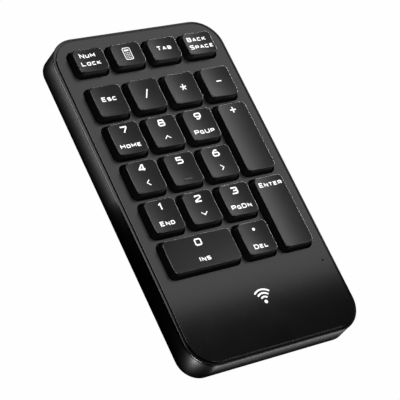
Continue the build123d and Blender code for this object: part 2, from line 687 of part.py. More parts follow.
def home_bar(key):
    """The raised bar near the front of the 5 key that a finger finds by touch."""
    place = Pos(0, HOME_BAR_INSET - key.depth / 2, KEY_TOP_Z - HOME_BAR_SINK)
    return place * Rot(0, 90, 0) * Cylinder(HOME_BAR_RADIUS, HOME_BAR_LENGTH)


def wire_path_points():
    """The U of a stabiliser wire, lying along X, from one pivot end to the other."""
    bar_y = WIRE_PIVOT_Y + WIRE_ARM * cos(WIRE_SWING)
    bar_z = WIRE_PIVOT_Z + WIRE_ARM * sin(WIRE_SWING)
    outer_x = WIRE_HALF_SPAN + WIRE_END
    return (
        Vector(-outer_x, WIRE_PIVOT_Y, WIRE_PIVOT_Z),
        Vector(-WIRE_HALF_SPAN, WIRE_PIVOT_Y, WIRE_PIVOT_Z),
        Vector(-WIRE_HALF_SPAN, bar_y, bar_z),
        Vector(WIRE_HALF_SPAN, bar_y, bar_z),
        Vector(WIRE_HALF_SPAN, WIRE_PIVOT_Y, WIRE_PIVOT_Z),
        Vector(outer_x, WIRE_PIVOT_Y, WIRE_PIVOT_Z),
    )


def make_stabiliser(key):
    """A bent steel wire: straight runs joined by balls at the bends."""
    points = wire_path_points()
    pieces = []
    for start, end in zip(points, points[1:]):
        run = end - start
        pieces.append(Solid.make_cylinder(WIRE_RADIUS, run.length, Plane(start, z_dir=run)))
    for bend in points[1:-1]:
        pieces.append(Pos(bend) * Sphere(WIRE_RADIUS))
    return placed_on_key(key, joined(pieces))


# ---------------------------------------------------------------- the stack under the keys
def guide_tower():
    """The tube that guides a plunger, standing over a chamber for its dome."""
    tower = disc(0, 0, FRAME_Z, LEDGE_TOP_Z, CHAMBER_OUTER_RADIUS)
    tower += disc(0, 0, FRAME_Z, TOWER_TOP_Z, TOWER_RADIUS)
    return tower


def guide_bore():
    """What is cut from a guide tower: the dome's chamber, and the plunger's bore."""
    bore = disc(0, 0, FRAME_Z - CUT, LEDGE_Z, CHAMBER_RADIUS)
    return bore + disc(0, 0, FRAME_Z, TOWER_TOP_Z + CUT, STEM_RADIUS + STEM_CLEARANCE)


def wire_lugs():
    """The two drilled lugs that a stabiliser wire's ends turn in."""
    lugs = []
    lug_z = (FRAME_Z, WIRE_PIVOT_Z + LUG_DEPTH / 2)
    for side in (-1, 1):
        middle_x = side * (WIRE_HALF_SPAN + WIRE_RADIUS + LUG_GAP + LUG_THICKNESS / 2)
        lug = block(span(middle_x, LUG_THICKNESS), span(WIRE_PIVOT_Y, LUG_DEPTH), lug_z)
        bore = Cylinder(WIRE_RADIUS + LUG_BORE_CLEARANCE, LUG_THICKNESS + 2 * CUT)
        lugs.append(lug - Pos(middle_x, WIRE_PIVOT_Y, WIRE_PIVOT_Z) * Rot(0, 90, 0) * bore)
    return joined(lugs)


def make_key_frame():
    """The moulded frame with a guide tower for every key."""
    frame = stack_layer(FRAME_Z, FRAME_THICKNESS)
    for key in KEYS:
        frame += Pos(key.x, key.y, 0) * guide_tower()
    for key in KEYS:
        frame -= Pos(key.x, key.y, 0) * guide_bore()
    for key in KEYS:
        if key.is_double:
            frame += placed_on_key(key, wire_lugs())
    return frame


def cone_between(low_z, high_z, low_radius, high_radius):
    """An upright cone frustum."""
    return loft([Pos(0, 0, low_z) * Circle(low_radius), Pos(0, 0, high_z) * Circle(high_radius)])


def rubber_dome():
    """One dome's outer cone, the hollow inside it, and the nub that presses the films."""
    middle_z = DOME_SHEET_Z + DOME_SHEET_THICKNESS / 2
    outer = cone_between(middle_z, DOME_TOP_Z, DOME_BASE_RADIUS, DOME_TOP_RADIUS)
    hollow_radii = (DOME_BASE_RADIUS - DOME_WALL, DOME_TOP_RADIUS - DOME_WALL)
    hollow = cone_between(DOME_SHEET_Z - WELD, DOME_TOP_Z - DOME_CROWN, *hollow_radii)
    nub = disc(0, 0, DOME_SHEET_Z + DOME_NUB_GAP, DOME_TOP_Z - DOME_CROWN + WELD, DOME_NUB_RADIUS)
    return outer, hollow, nub


def make_dome_sheet():
    """The silicone sheet that carries all the domes."""
    sheet = stack_layer(DOME_SHEET_Z, DOME_SHEET_THICKNESS)
    outer, hollow, nub = rubber_dome()
    for key in KEYS:
        place = Pos(key.x, key.y, 0)
        sheet += place * outer
        sheet -= place * hollow
        sheet += place * nub
    return sheet


def make_membrane_spacer():
    """The middle film, with a hole under each dome that the contacts meet through."""
    film = stack_layer(FILM_Z + FILM_THICKNESS, FILM_THICKNESS)
    for key in KEYS:
        film -= disc(key.x, key.y, FILM_Z - CUT, DOME_SHEET_Z + CUT, CONTACT_HOLE_RADIUS)
    return film


def make_membrane_lower():
    """The lower circuit film, whose tail reaches onto the circuit board."""
    film = stack_layer(FILM_Z, FILM_THICKNESS)
    return film + block(TAIL_X, (TAIL_FRONT_Y, STACK_FRONT_Y + WELD), (FILM_Z, FILM_Z + FILM_THICKNESS))


# ---------------------------------------------------------------- screws
def screw(x, y, head_z, head_radius, tip_z):
    """A pan-head screw with a cross recess; its tip is below its head or above it."""
    low_z, high_z = head_z
    head_down = tip_z > high_z
    outer_z = low_z if head_down else high_z
    head = disc(x, y, low_z, high_z, head_radius)
    head = fillet(edges_at_height(head, outer_z), SCREW_EDGE_RADIUS)
    for size in ((RECESS_LENGTH, RECESS_WIDTH), (RECESS_WIDTH, RECESS_LENGTH)):
        head -= Pos(x, y, outer_z) * Box(*size, 2 * RECESS_DEPTH)
    shaft_z = (high_z - WELD, tip_z) if head_down else (tip_z, low_z + WELD)
    return head + disc(x, y, *shaft_z, SCREW_RADIUS)


def make_case_screws():
    """Six screws that go up through the base into the cover's posts."""
    head_z = (CASE_SCREW_SEAT_Z - CASE_SCREW_HEAD_HEIGHT, CASE_SCREW_SEAT_Z)
    return Compound(children=[
        screw(x, y, head_z, CASE_SCREW_HEAD_RADIUS, CASE_SCREW_TIP_Z) for x, y in CASE_SCREWS
    ])


def make_frame_screws():
    """Six screws that hold the key frame and the stack down to the base."""
    head_z = (FRAME_TOP_Z, FRAME_TOP_Z + FRAME_SCREW_HEAD_HEIGHT)
    return Compound(children=[
        screw(x, y, head_z, FRAME_SCREW_HEAD_RADIUS, SCREW_TIP_Z) for x, y in FRAME_SCREWS
    ])


def make_small_screws(places, seat_z):
    """The small screws that stand on the board or on the clamp bar."""
    head_z = (seat_z, seat_z + BOARD_SCREW_HEAD_HEIGHT)
    return Compound(children=[
        screw(x, y, head_z, BOARD_SCREW_HEAD_RADIUS, SCREW_TIP_Z) for x, y in places
    ])


# ---------------------------------------------------------------- electronics
def make_circuit_board():
    """The controller board, at the same level as the membrane's tail."""
    board = block(BOARD_X, BOARD_Y, (BOARD_Z, BOARD_TOP_Z))
    board = fillet(board.edges().filter_by(Axis.Z), BOARD_CORNER_RADIUS)
    for x, y in BOARD_SCREWS + CLAMP_SCREWS:
        board -= disc(x, y, BOARD_Z - CUT, BOARD_TOP_Z + CUT, SCREW_HOLE_RADIUS)
    return board


def make_tail_clamp():
    """The bar that presses the membrane's tail onto the board's contacts."""
    (left, y), (right, _) = CLAMP_SCREWS
    low_z = BOARD_TOP_Z + FILM_THICKNESS
    length = right - left + 2 * CLAMP_END
    bar = rounded_block((left + right) / 2, y, length, CLAMP_DEPTH, CLAMP_CORNER_RADIUS, low_z, CLAMP_TOP_Z)
    for x, _ in CLAMP_SCREWS:
        bar -= disc(x, y, low_z - CUT, CLAMP_TOP_Z + CUT, SCREW_HOLE_RADIUS)
    return bar


def chip(place, size):
    """A package on top of the board with a bevelled top edge."""
    width, depth, height = size
    body = block(span(place[0], width), span(place[1], depth), (BOARD_TOP_Z, BOARD_TOP_Z + height))
    return chamfer(edges_at_height(body, BOARD_TOP_Z + height), CHIP_EDGE)


def make_light_pipe():
    """The clear rod that carries the indicator's light up to a pinhole in the deck."""
    low_z = BOARD_TOP_Z + LED_HEIGHT + PIPE_GAP
    rod = disc(LED_X, LED_Y, low_z, DECK_UNDER_Z - PIPE_SHOULDER_GAP, PIPE_RADIUS)
    tip_z = (DECK_UNDER_Z - PIPE_TIP_OVERLAP, DECK_Z - PIPE_TIP_DEPTH)
    return rod + disc(LED_X, LED_Y, *tip_z, PIPE_TIP_RADIUS)


def make_power_switch_body():
    """The slide switch under the board, open downwards for its knob."""
    low_z = FLOOR_TOP_Z + SWITCH_GAP
    width, depth = SWITCH_BODY_SIZE
    open_width, open_depth = SWITCH_OPENING_SIZE
    body = block(span(SWITCH_X, width), span(SWITCH_Y, depth), (low_z, BOARD_Z))
    opening_z = (low_z - CUT, BOARD_Z - SWITCH_ROOF)
    return body - block(span(SWITCH_X, open_width), span(SWITCH_Y, open_depth), opening_z)


def make_power_switch_knob():
    """The ridged knob, drawn in its off position."""
    x = SWITCH_X - SWITCH_TRAVEL / 2
    width, depth = KNOB_SIZE
    low_z = BASE_Z + KNOB_RECESS
    knob = block(span(x, width), span(SWITCH_Y, depth), (low_z, BOARD_Z - SWITCH_ROOF - KNOB_ROOF_GAP))
    for offset in KNOB_GROOVES:
        groove_z = (low_z - CUT, low_z + KNOB_GROOVE_DEPTH)
        knob -= block(span(x + offset, KNOB_GROOVE_WIDTH), span(SWITCH_Y, depth + CUT), groove_z)
    return knob


# ---------------------------------------------------------------- battery parts
def contact_face(at_right):
    """Where a contact's front face is, and the way along X that it faces."""
    depth = CONTACT_GAP + CONTACT_THICKNESS
    if at_right:
        return BAY_X[1] - depth, -1
    return BAY_X[0] + depth, 1


def make_cell(y, nub_right):
    """An AAA cell along X, its positive nub to the right or the left."""
    face_x, inwards = contact_face(nub_right)
    nub_end_x = face_x + inwards * (CONTACT_DIMPLE + CELL_GAP)
    body_length = CELL_LENGTH - CELL_NUB_LENGTH
    body_x = nub_end_x + inwards * (CELL_NUB_LENGTH + body_length / 2)
    body = Pos(body_x, y, CELL_Z) * Rot(0, 90, 0) * Cylinder(CELL_RADIUS, body_length)
    body = fillet(body.edges().filter_by(GeomType.CIRCLE), CELL_EDGE_RADIUS)
    nub_x = nub_end_x + inwards * (CELL_NUB_LENGTH + WELD) / 2
    return body + Pos(nub_x, y, CELL_Z) * Rot(0, 90, 0) * Cylinder(CELL_NUB_RADIUS, CELL_NUB_LENGTH + WELD)


def contact_plate(y_range, at_right):
    """A thin plate standing against one end wall of the battery bay."""
    face_x, inwards = contact_face(at_right)
    return block(sorted((face_x, face_x - inwards * CONTACT_THICKNESS)), y_range, CONTACT_Z)


def contact_dimple(y, at_right):
    """The pressed dome that touches a cell's positive nub."""
    face_x, inwards = contact_face(at_right)
    base = Plane((face_x - inwards * DIMPLE_SINK, y, CELL_Z), z_dir=(inwards, 0, 0))
    return Solid.make_cone(*DIMPLE_RADII, CONTACT_DIMPLE + DIMPLE_SINK, base)


def contact_spring(y, at_right):
    """The tapered coil that presses a cell's negative end."""
    face_x, inwards = contact_face(at_right)
    coil = Helix(pitch=SPRING_PITCH, height=SPRING_LENGTH, radius=SPRING_RADIUS, cone_angle=-SPRING_TAPER)
    wire = sweep(Plane(coil @ 0, z_dir=coil % 0) * Circle(SPRING_WIRE_RADIUS), path=coil)
    base_x = face_x + inwards * SPRING_WIRE_RADIUS / 2
    return Plane((base_x, y, CELL_Z), x_dir=(0, 1, 0), z_dir=(inwards, 0, 0)).location * wire


def solder_tab(y):
    """The tab that passes out of the bay over its right end wall."""
    tab_x = (BAY_X[1] - CONTACT_GAP - CONTACT_THICKNESS, BAY_X[1] + BAY_WALL + TAB_REACH)
    return block(tab_x, span(y, 2 * TAB_HALF_WIDTH), TAB_Z)


def make_battery_link():
    """The left contact, which joins one cell's negative end to the other's positive."""
    plate = contact_plate((CELL_FRONT_Y - CONTACT_HALF_WIDTH, CELL_BACK_Y + CONTACT_HALF_WIDTH), False)
    return plate + contact_dimple(CELL_FRONT_Y, False) + contact_spring(CELL_BACK_Y, False)


def make_battery_positive():
    """The right contact of the back cell."""
    plate = contact_plate(span(CELL_BACK_Y, 2 * CONTACT_HALF_WIDTH), True)
    return plate + contact_dimple(CELL_BACK_Y, True) + solder_tab(CELL_BACK_Y)


def make_battery_negative():
    """The right contact of the front cell, with its spring."""
    plate = contact_plate(span(CELL_FRONT_Y, 2 * CONTACT_HALF_WIDTH), True)
    return plate + contact_spring(CELL_FRONT_Y, True) + solder_tab(CELL_FRONT_Y)


def make_battery_lead(tab_y, end):
    """An insulated wire from a contact's tab down to the board."""
    board_x, board_y = end
    start_x = BAY_X[1] + BAY_WALL + LEAD_REACH
    route = Spline(
        (start_x, tab_y, LEAD_START_Z),
        (start_x + LEAD_REACH, (tab_y + board_y) / 2, LEAD_MIDDLE_Z),
        (board_x, board_y, BOARD_TOP_Z + LEAD_END_GAP),
        tangents=((1, 0, 0), (0, 0, -1)),
    )
    return sweep(Plane(route @ 0, z_dir=route % 0) * Circle(LEAD_RADIUS), path=route)


def door_plate():
    """The door's flat plate, with the grooves that a thumb grips."""
    plate_x = (BAY_X[0] + DOOR_GAP, BAY_X[1] - DOOR_GAP)
    plate_y = (BAY_Y[0] + DOOR_GAP, BAY_Y[1] - DOOR_GAP)
    plate = block(plate_x, plate_y, (BASE_Z, BASE_Z + DOOR_THICKNESS))
    plate = fillet(plate.edges().filter_by(Axis.Z), DOOR_CORNER_RADIUS)
    for groove in range(GRIP_GROOVES):
        y = BAY_Y[0] + GRIP_START + GRIP_PITCH * groove
        plate -= block(span(LATCH_X, LATCH_WIDTH), (y, y + GRIP_WIDTH), (BASE_Z - CUT, BASE_Z + GRIP_DEPTH))
    return plate


def door_tongue(x):
    """A tongue at the door's back edge, on a neck that lifts it over the base's floor."""
    low_z = FLOOR_TOP_Z + DOOR_TONGUE_GAP
    high_z = low_z + DOOR_TONGUE_THICKNESS
    tongue_x = span(x, DOOR_TONGUE_WIDTH)
    front_y = BAY_Y[1] - DOOR_TONGUE_ROOT
    tongue = block(tongue_x, (front_y, BAY_Y[1] + DOOR_TONGUE_REACH), (low_z, high_z))
    neck = block(tongue_x, (front_y, BAY_Y[1] - DOOR_TONGUE_NECK), (BASE_Z + DOOR_THICKNESS - WELD, high_z))
    return tongue + neck


def door_latch():
    """The sprung arm at the door's front edge, with the nose that catches over the floor."""
    front_y = LATCH_NOSE_Y + LATCH_NOSE_REACH
    arm_y = (front_y, front_y + LATCH_THICKNESS)
    arm = block(span(LATCH_X, LATCH_WIDTH), arm_y, (BASE_Z + DOOR_THICKNESS - WELD, LATCH_TOP_Z))
    nose_y = (LATCH_NOSE_Y, front_y + WELD)
    return arm + block(span(LATCH_X, LATCH_WIDTH), nose_y, LATCH_NOSE_Z)


def make_battery_door():
    """The door: a flush plate with two tongues at its back edge and a latch in front."""
    return joined([door_plate(), door_latch()] + [door_tongue(x) for x in DOOR_TONGUE_X])


# ---------------------------------------------------------------- receiver
def plug_block(x_range, half_width, half_thickness):
    """A box along the receiver's plug, centred across it."""
    return block(x_range, span(RECEIVER_Y, 2 * half_width), span(RECEIVER_Z, 2 * half_thickness))


def make_receiver_cap():
    """The moulded grip, notched on its two short sides, with a socket for the plug."""
    low_x = RECEIVER_PLUG_X + USB_PLUG_LENGTH
    cap = plug_block((low_x, low_x + CAP_LENGTH), CAP_WIDTH / 2, CAP_THICKNESS / 2)
    cap = fillet(cap.edges().filter_by(Axis.Y) + cap.edges().filter_by(Axis.Z), CAP_EDGE_RADIUS)
    notch = Cylinder(CAP_NOTCH_RADIUS, CAP_THICKNESS + CUT)
    for place in range(CAP_NOTCHES):
        x = low_x + CAP_LENGTH * (place + 0.5) / CAP_NOTCHES
        for y in span(RECEIVER_Y, CAP_WIDTH + WELD):
            cap -= Pos(x, y, RECEIVER_Z) * notch
    return cap - plug_block(
        (low_x - CUT, low_x + CAP_SOCKET_DEPTH),
        USB_PLUG_WIDTH / 2 + CAP_SOCKET_GAP,
        USB_PLUG_THICKNESS / 2 + CAP_SOCKET_GAP,
    )


def make_receiver_shell():
    """The folded steel sleeve of the plug, with its four latch windows and two keying bumps."""
    end_x = RECEIVER_PLUG_X + USB_PLUG_LENGTH + CAP_SOCKET_DEPTH - SHELL_END_GAP
    half_y = USB_PLUG_WIDTH / 2
    half_z = USB_PLUG_THICKNESS / 2
    sleeve = plug_block((RECEIVER_PLUG_X, end_x), half_y, half_z)
    sleeve = fillet(sleeve.edges().filter_by(Axis.X), SHELL_EDGE_RADIUS)
    inside_x = (RECEIVER_PLUG_X - CUT, end_x + CUT)
    sleeve -= plug_block(inside_x, half_y - USB_SHELL_WALL, half_z - USB_SHELL_WALL)
    wall_z = (RECEIVER_Z - half_z + SHELL_BUMP_SINK, RECEIVER_Z)
    bump_z = RECEIVER_Z - half_z + USB_SHELL_WALL - SHELL_BUMP_SINK
    window_length, window_width = SHELL_WINDOW_SIZE
    for y in span(RECEIVER_Y, 2 * SHELL_WINDOW_Y):
        window_x = (SHELL_WINDOW_X, SHELL_WINDOW_X + window_length)
        sleeve -= block(window_x, span(y, window_width), span(RECEIVER_Z, USB_PLUG_THICKNESS + CUT))
        bump_room = block(span(SHELL_BUMP_X, 4 * SHELL_BUMP_RADIUS), span(y, 4 * SHELL_BUMP_RADIUS), wall_z)
        sleeve += Pos(SHELL_BUMP_X, y, bump_z) * Sphere(SHELL_BUMP_RADIUS) & bump_room
    return sleeve


def make_receiver_tongue():
    """The insulating tongue inside the sleeve, which fills its upper half."""
    low_z = TONGUE_TOP_Z - TONGUE_THICKNESS
    end_x = RECEIVER_PLUG_X + USB_PLUG_LENGTH + CAP_SOCKET_DEPTH - TONGUE_END_GAP
    tongue_x = (RECEIVER_PLUG_X + TONGUE_SETBACK, end_x)
    tongue = block(tongue_x, span(RECEIVER_Y, 2 * TONGUE_HALF_WIDTH), (low_z, TONGUE_TOP_Z))
    for y, contact_x in PLUG_CONTACTS:
        groove_z = (low_z - CUT, low_z + CONTACT_GROOVE_DEPTH)
        tongue -= block(contact_x, span(y, 2 * CONTACT_GROOVE_HALF_WIDTH), groove_z)
    return tongue


def make_receiver_contacts():
    """Four gold-plated contacts set into the tongue; the outer two reach nearer the plug's mouth."""
    top_z = TONGUE_TOP_Z - TONGUE_THICKNESS + CONTACT_GROOVE_DEPTH - PLUG_CONTACT_SINK
    contact_z = (top_z - PLUG_CONTACT_THICKNESS, top_z)
    width = 2 * (CONTACT_GROOVE_HALF_WIDTH - PLUG_CONTACT_GAP)
    return Compound(children=[block(contact_x, span(y, width), contact_z) for y, contact_x in PLUG_CONTACTS])


# ---------------------------------------------------------------- all the pieces
def make_all():
    """Every piece by its node name."""
    pieces = {
        "top_case": make_top_case(),
        "bottom_case": make_bottom_case(),
        "rubber_feet": make_rubber_feet(),
        "case_screws": make_case_screws(),
        "key_frame": make_key_frame(),
        "frame_screws": make_frame_screws(),
        "dome_sheet": make_dome_sheet(),
        "membrane_upper": stack_layer(FILM_Z + 2 * FILM_THICKNESS, FILM_THICKNESS),
        "membrane_spacer": make_membrane_spacer(),
        "membrane_lower": make_membrane_lower(),
        "support_plate": stack_layer(PLATE_Z, PLATE_THICKNESS),
        "circuit_board": make_circuit_board(),
        "board_screws": make_small_screws(BOARD_SCREWS, BOARD_TOP_Z),
        "tail_clamp": make_tail_clamp(),
        "clamp_screws": make_small_screws(CLAMP_SCREWS, CLAMP_TOP_Z),
        "controller_chip": chip(CONTROLLER_PLACE, CONTROLLER_SIZE),
        "timing_crystal": chip(CRYSTAL_PLACE, CRYSTAL_SIZE),
        "indicator_led": chip((LED_X, LED_Y), LED_SIZE),
        "light_pipe": make_light_pipe(),
        "power_switch_body": make_power_switch_body(),
        "power_switch_knob": make_power_switch_knob(),
        "battery_cell_back": make_cell(CELL_BACK_Y, True),
        "battery_cell_front": make_cell(CELL_FRONT_Y, False),
        "battery_link_contact": make_battery_link(),
        "battery_positive_contact": make_battery_positive(),
        "battery_negative_contact": make_battery_negative(),
        "battery_lead_positive": make_battery_lead(CELL_BACK_Y, POSITIVE_LEAD_END),
        "battery_lead_negative": make_battery_lead(CELL_FRONT_Y, NEGATIVE_LEAD_END),
        "battery_door": make_battery_door(),
        "receiver_cap": make_receiver_cap(),
        "receiver_shell": make_receiver_shell(),
        "receiver_tongue": make_receiver_tongue(),
        "receiver_contacts": make_receiver_contacts(),
    }
    for key in KEYS:
        pieces[key.node] = make_keycap(key)
        if key.is_double:
            pieces[key.node.replace("key_", "stabiliser_")] = make_stabiliser(key)
    return pieces


if __name__ == "__main__":
    os.makedirs("parts", exist_ok=True)
    for node, shape in make_all().items():
        export_step(shape, f"parts/{node}.step")
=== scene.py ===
import json
import math

import bmesh
import bpy
from mathutils import Matrix, Vector
from mathutils.bvhtree import BVHTree

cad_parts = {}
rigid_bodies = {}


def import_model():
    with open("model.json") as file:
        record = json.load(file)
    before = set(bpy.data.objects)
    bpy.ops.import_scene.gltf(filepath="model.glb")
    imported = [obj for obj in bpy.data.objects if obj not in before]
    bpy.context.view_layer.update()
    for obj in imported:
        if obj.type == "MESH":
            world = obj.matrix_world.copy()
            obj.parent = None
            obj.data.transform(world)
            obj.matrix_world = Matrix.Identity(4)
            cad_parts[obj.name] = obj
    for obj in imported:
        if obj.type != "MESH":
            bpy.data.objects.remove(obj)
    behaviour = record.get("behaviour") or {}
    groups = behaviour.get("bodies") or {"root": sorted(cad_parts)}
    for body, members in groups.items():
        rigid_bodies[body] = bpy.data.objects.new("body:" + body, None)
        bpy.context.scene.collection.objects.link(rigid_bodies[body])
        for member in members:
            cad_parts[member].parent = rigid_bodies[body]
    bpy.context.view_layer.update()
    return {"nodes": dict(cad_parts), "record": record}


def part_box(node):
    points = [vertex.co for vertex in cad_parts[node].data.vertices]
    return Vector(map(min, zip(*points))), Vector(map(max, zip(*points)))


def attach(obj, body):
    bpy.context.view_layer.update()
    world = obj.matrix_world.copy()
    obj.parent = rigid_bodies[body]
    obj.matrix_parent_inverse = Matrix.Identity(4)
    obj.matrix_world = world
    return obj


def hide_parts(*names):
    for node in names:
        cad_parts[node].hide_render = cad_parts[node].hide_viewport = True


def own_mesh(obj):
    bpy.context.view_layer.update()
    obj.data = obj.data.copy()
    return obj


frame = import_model()

MM = 0.001
NODES = frame["nodes"]

# ---------------------------------------------------------------- measures taken from the frame
KEY_NODES = sorted(n for n in NODES if n.startswith("key_") and n != "key_frame")
DECK_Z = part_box("top_case")[1].z


def centre(node):
    """Middle of a CAD node's box."""
    low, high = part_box(node)
    return (low + high) / 2


# ---------------------------------------------------------------- shader building blocks
NOISE_LOW = 0.3  # nearly all of a noise texture lies between these two values
NOISE_HIGH = 0.7


def new_material(name):
    """An empty node material, its node tree and its Principled shader."""
    material = bpy.data.materials.new(name)
    material.use_nodes = True
    tree = material.node_tree
    return material, tree, tree.nodes["Principled BSDF"]


def add(tree, kind, **values):
    """A shader node with some of its inputs or properties set."""
    node = tree.nodes.new(kind)
    for key, value in values.items():
        if key in node.inputs:
            node.inputs[key].default_value = value
        else:
            setattr(node, key, value)
    return node


def noise(tree, size, detail=3.0, stretch=(1, 1, 1)):
    """A noise texture in the object's own space, with features about this many metres across."""
    where = add(tree, "ShaderNodeTexCoord")
    mapping = add(tree, "ShaderNodeMapping", Scale=stretch)
    texture = add(tree, "ShaderNodeTexNoise", Scale=1.0 / size, Detail=detail, Roughness=0.55)
    tree.links.new(where.outputs["Object"], mapping.inputs["Vector"])
    tree.links.new(mapping.outputs["Vector"], texture.inputs["Vector"])
    return texture.outputs["Fac"]


def ramp(tree, value, low, high, from_low=NOISE_LOW, from_high=NOISE_HIGH):
    """Turns a value between from_low and from_high into one between low and high."""
    node = add(tree, "ShaderNodeMapRange")
    node.inputs["From Min"].default_value = from_low
    node.inputs["From Max"].default_value = from_high
    node.inputs["To Min"].default_value = low
    node.inputs["To Max"].default_value = high
    tree.links.new(value, node.inputs["Value"])
    return node.outputs["Result"]


def colour_by(tree, shader, share, first, second):
    """Blends the base colour from one colour to another by a 0 to 1 share."""
    node = add(tree, "ShaderNodeMix", data_type="RGBA")
    tree.links.new(share, node.inputs["Factor"])
    node.inputs["A"].default_value = (*first, 1)
    node.inputs["B"].default_value = (*second, 1)
    tree.links.new(node.outputs["Result"], shader.inputs["Base Color"])


def roughness_by(tree, shader, pattern, smoothest, roughest):
    """Drives the roughness between two values by a noise pattern."""
    tree.links.new(ramp(tree, pattern, smoothest, roughest), shader.inputs["Roughness"])


def bump(tree, shader, *layers):
    """Chains bump maps: each layer is (height socket, depth in metres)."""
    normal = None
    for height, depth in layers:
        node = add(tree, "ShaderNodeBump", Strength=1.0, Distance=depth)
        tree.links.new(height, node.inputs["Height"])
        if normal is not None:
            tree.links.new(normal, node.inputs["Normal"])
        normal = node.outputs["Normal"]
    tree.links.new(normal, shader.inputs["Normal"])


# ---------------------------------------------------------------- materials
def moulded(name, dark, light, roughness, grain_size=0.25 * MM):
    """Moulded plastic: a fine spark-eroded grain, soft mottling and slightly uneven gloss."""
    mottle_size = 14 * MM
    grain_depth = 0.0015 * MM
    uneven = 0.01
    material, tree, shader = new_material(name)
    mottle = noise(tree, mottle_size, detail=2.0)
    colour_by(tree, shader, ramp(tree, mottle, 0, 1), dark, light)
    roughness_by(tree, shader, mottle, roughness - uneven, roughness + uneven)
    bump(tree, shader, (noise(tree, grain_size), grain_depth))
    return material


def metal(name, dark, light, roughness, stretch=(1, 1, 1)):
    """Plated or drawn metal, with fine lines where its grain is squeezed across two axes."""
    grain_size = 0.3 * MM
    grain_depth = 0.003 * MM
    stain_size = 6 * MM
    material, tree, shader = new_material(name)
    grain = noise(tree, grain_size, detail=4.0, stretch=stretch)
    stain = noise(tree, stain_size)
    colour_by(tree, shader, ramp(tree, stain, 0, 1), dark, light)
    roughness_by(tree, shader, grain, roughness - 0.07, roughness + 0.09)
    shader.inputs["Metallic"].default_value = 1.0
    bump(tree, shader, (grain, grain_depth))
    return material


def rubber(name, dark, light):
    """Matt rubber with a dusty, pitted surface."""
    pit_size = 0.4 * MM
    pit_depth = 0.02 * MM
    dust_size = 5 * MM
    material, tree, shader = new_material(name)
    dust = noise(tree, dust_size, detail=4.0)
    colour_by(tree, shader, ramp(tree, dust, 0, 1), dark, light)
    roughness_by(tree, shader, dust, 0.67, 0.85)
    bump(tree, shader, (noise(tree, pit_size, detail=4.0), pit_depth))
    return material


def translucent(name, tint, roughness, transmission):
    """Clear or milky plastic or silicone."""
    haze_size = 2.5 * MM
    haze_gain = 1.12
    ripple_size = 0.5 * MM
    ripple_depth = 0.004 * MM
    material, tree, shader = new_material(name)
    haze = noise(tree, haze_size)
    paler = tuple(min(1.0, channel * haze_gain) for channel in tint)
    colour_by(tree, shader, ramp(tree, haze, 0, 1), tint, paler)
    roughness_by(tree, shader, haze, roughness - 0.04, roughness + 0.06)
    shader.inputs["Transmission Weight"].default_value = transmission
    bump(tree, shader, (noise(tree, ripple_size), ripple_depth))
    return material


def circuit_film(name):
    """Polyester film with wavy printed silver tracks."""
    film = (0.62, 0.68, 0.70)
    silver = (0.38, 0.39, 0.40)
    waves_scale = 120.0
    track_edge = (0.80, 0.86)
    track_depth = 0.01 * MM
    buckle_size = 8 * MM
    buckle_depth = 0.03 * MM
    material, tree, shader = new_material(name)
    where = add(tree, "ShaderNodeTexCoord")
    wave = add(tree, "ShaderNodeTexWave", Scale=waves_scale, Distortion=2.0, Detail=1.0)
    tree.links.new(where.outputs["Object"], wave.inputs["Vector"])
    track = ramp(tree, wave.outputs["Fac"], 0, 1, *track_edge)
    colour_by(tree, shader, track, film, silver)
    tree.links.new(ramp(tree, track, 0.25, 0.5, 0, 1), shader.inputs["Roughness"])
    bump(tree, shader, (track, track_depth), (noise(tree, buckle_size), buckle_depth))
    return material


def circuit_board(name):
    """Green solder mask, paler and raised over a net of copper tracks."""
    mask = (0.012, 0.10, 0.045)
    mask_over_copper = (0.03, 0.19, 0.08)
    cells_scale = 700.0
    track_edge = (0.04, 0.08)
    track_depth = 0.03 * MM
    ripple_size = 0.5 * MM
    ripple_depth = 0.004 * MM
    material, tree, shader = new_material(name)
    where = add(tree, "ShaderNodeTexCoord")
    cells = add(
        tree, "ShaderNodeTexVoronoi", Scale=cells_scale, feature="DISTANCE_TO_EDGE", distance="CHEBYCHEV"
    )
    tree.links.new(where.outputs["Object"], cells.inputs["Vector"])
    track = ramp(tree, cells.outputs["Distance"], 1, 0, *track_edge)
    colour_by(tree, shader, track, mask, mask_over_copper)
    shader.inputs["Roughness"].default_value = 0.28
    bump(tree, shader, (track, track_depth), (noise(tree, ripple_size), ripple_depth))
    return material


def share_from_middle(tree):
    """How far a point is from the middle of its object along X: 0 in the middle and 0.5 at both ends."""
    where = add(tree, "ShaderNodeTexCoord")
    split = add(tree, "ShaderNodeSeparateXYZ")
    offset = add(tree, "ShaderNodeMath", operation="SUBTRACT")
    offset.inputs[1].default_value = 0.5
    reach = add(tree, "ShaderNodeMath", operation="ABSOLUTE")
    tree.links.new(where.outputs["Generated"], split.inputs["Vector"])
    tree.links.new(split.outputs["X"], offset.inputs[0])
    tree.links.new(offset.outputs["Value"], reach.inputs[0])
    return reach.outputs["Value"]


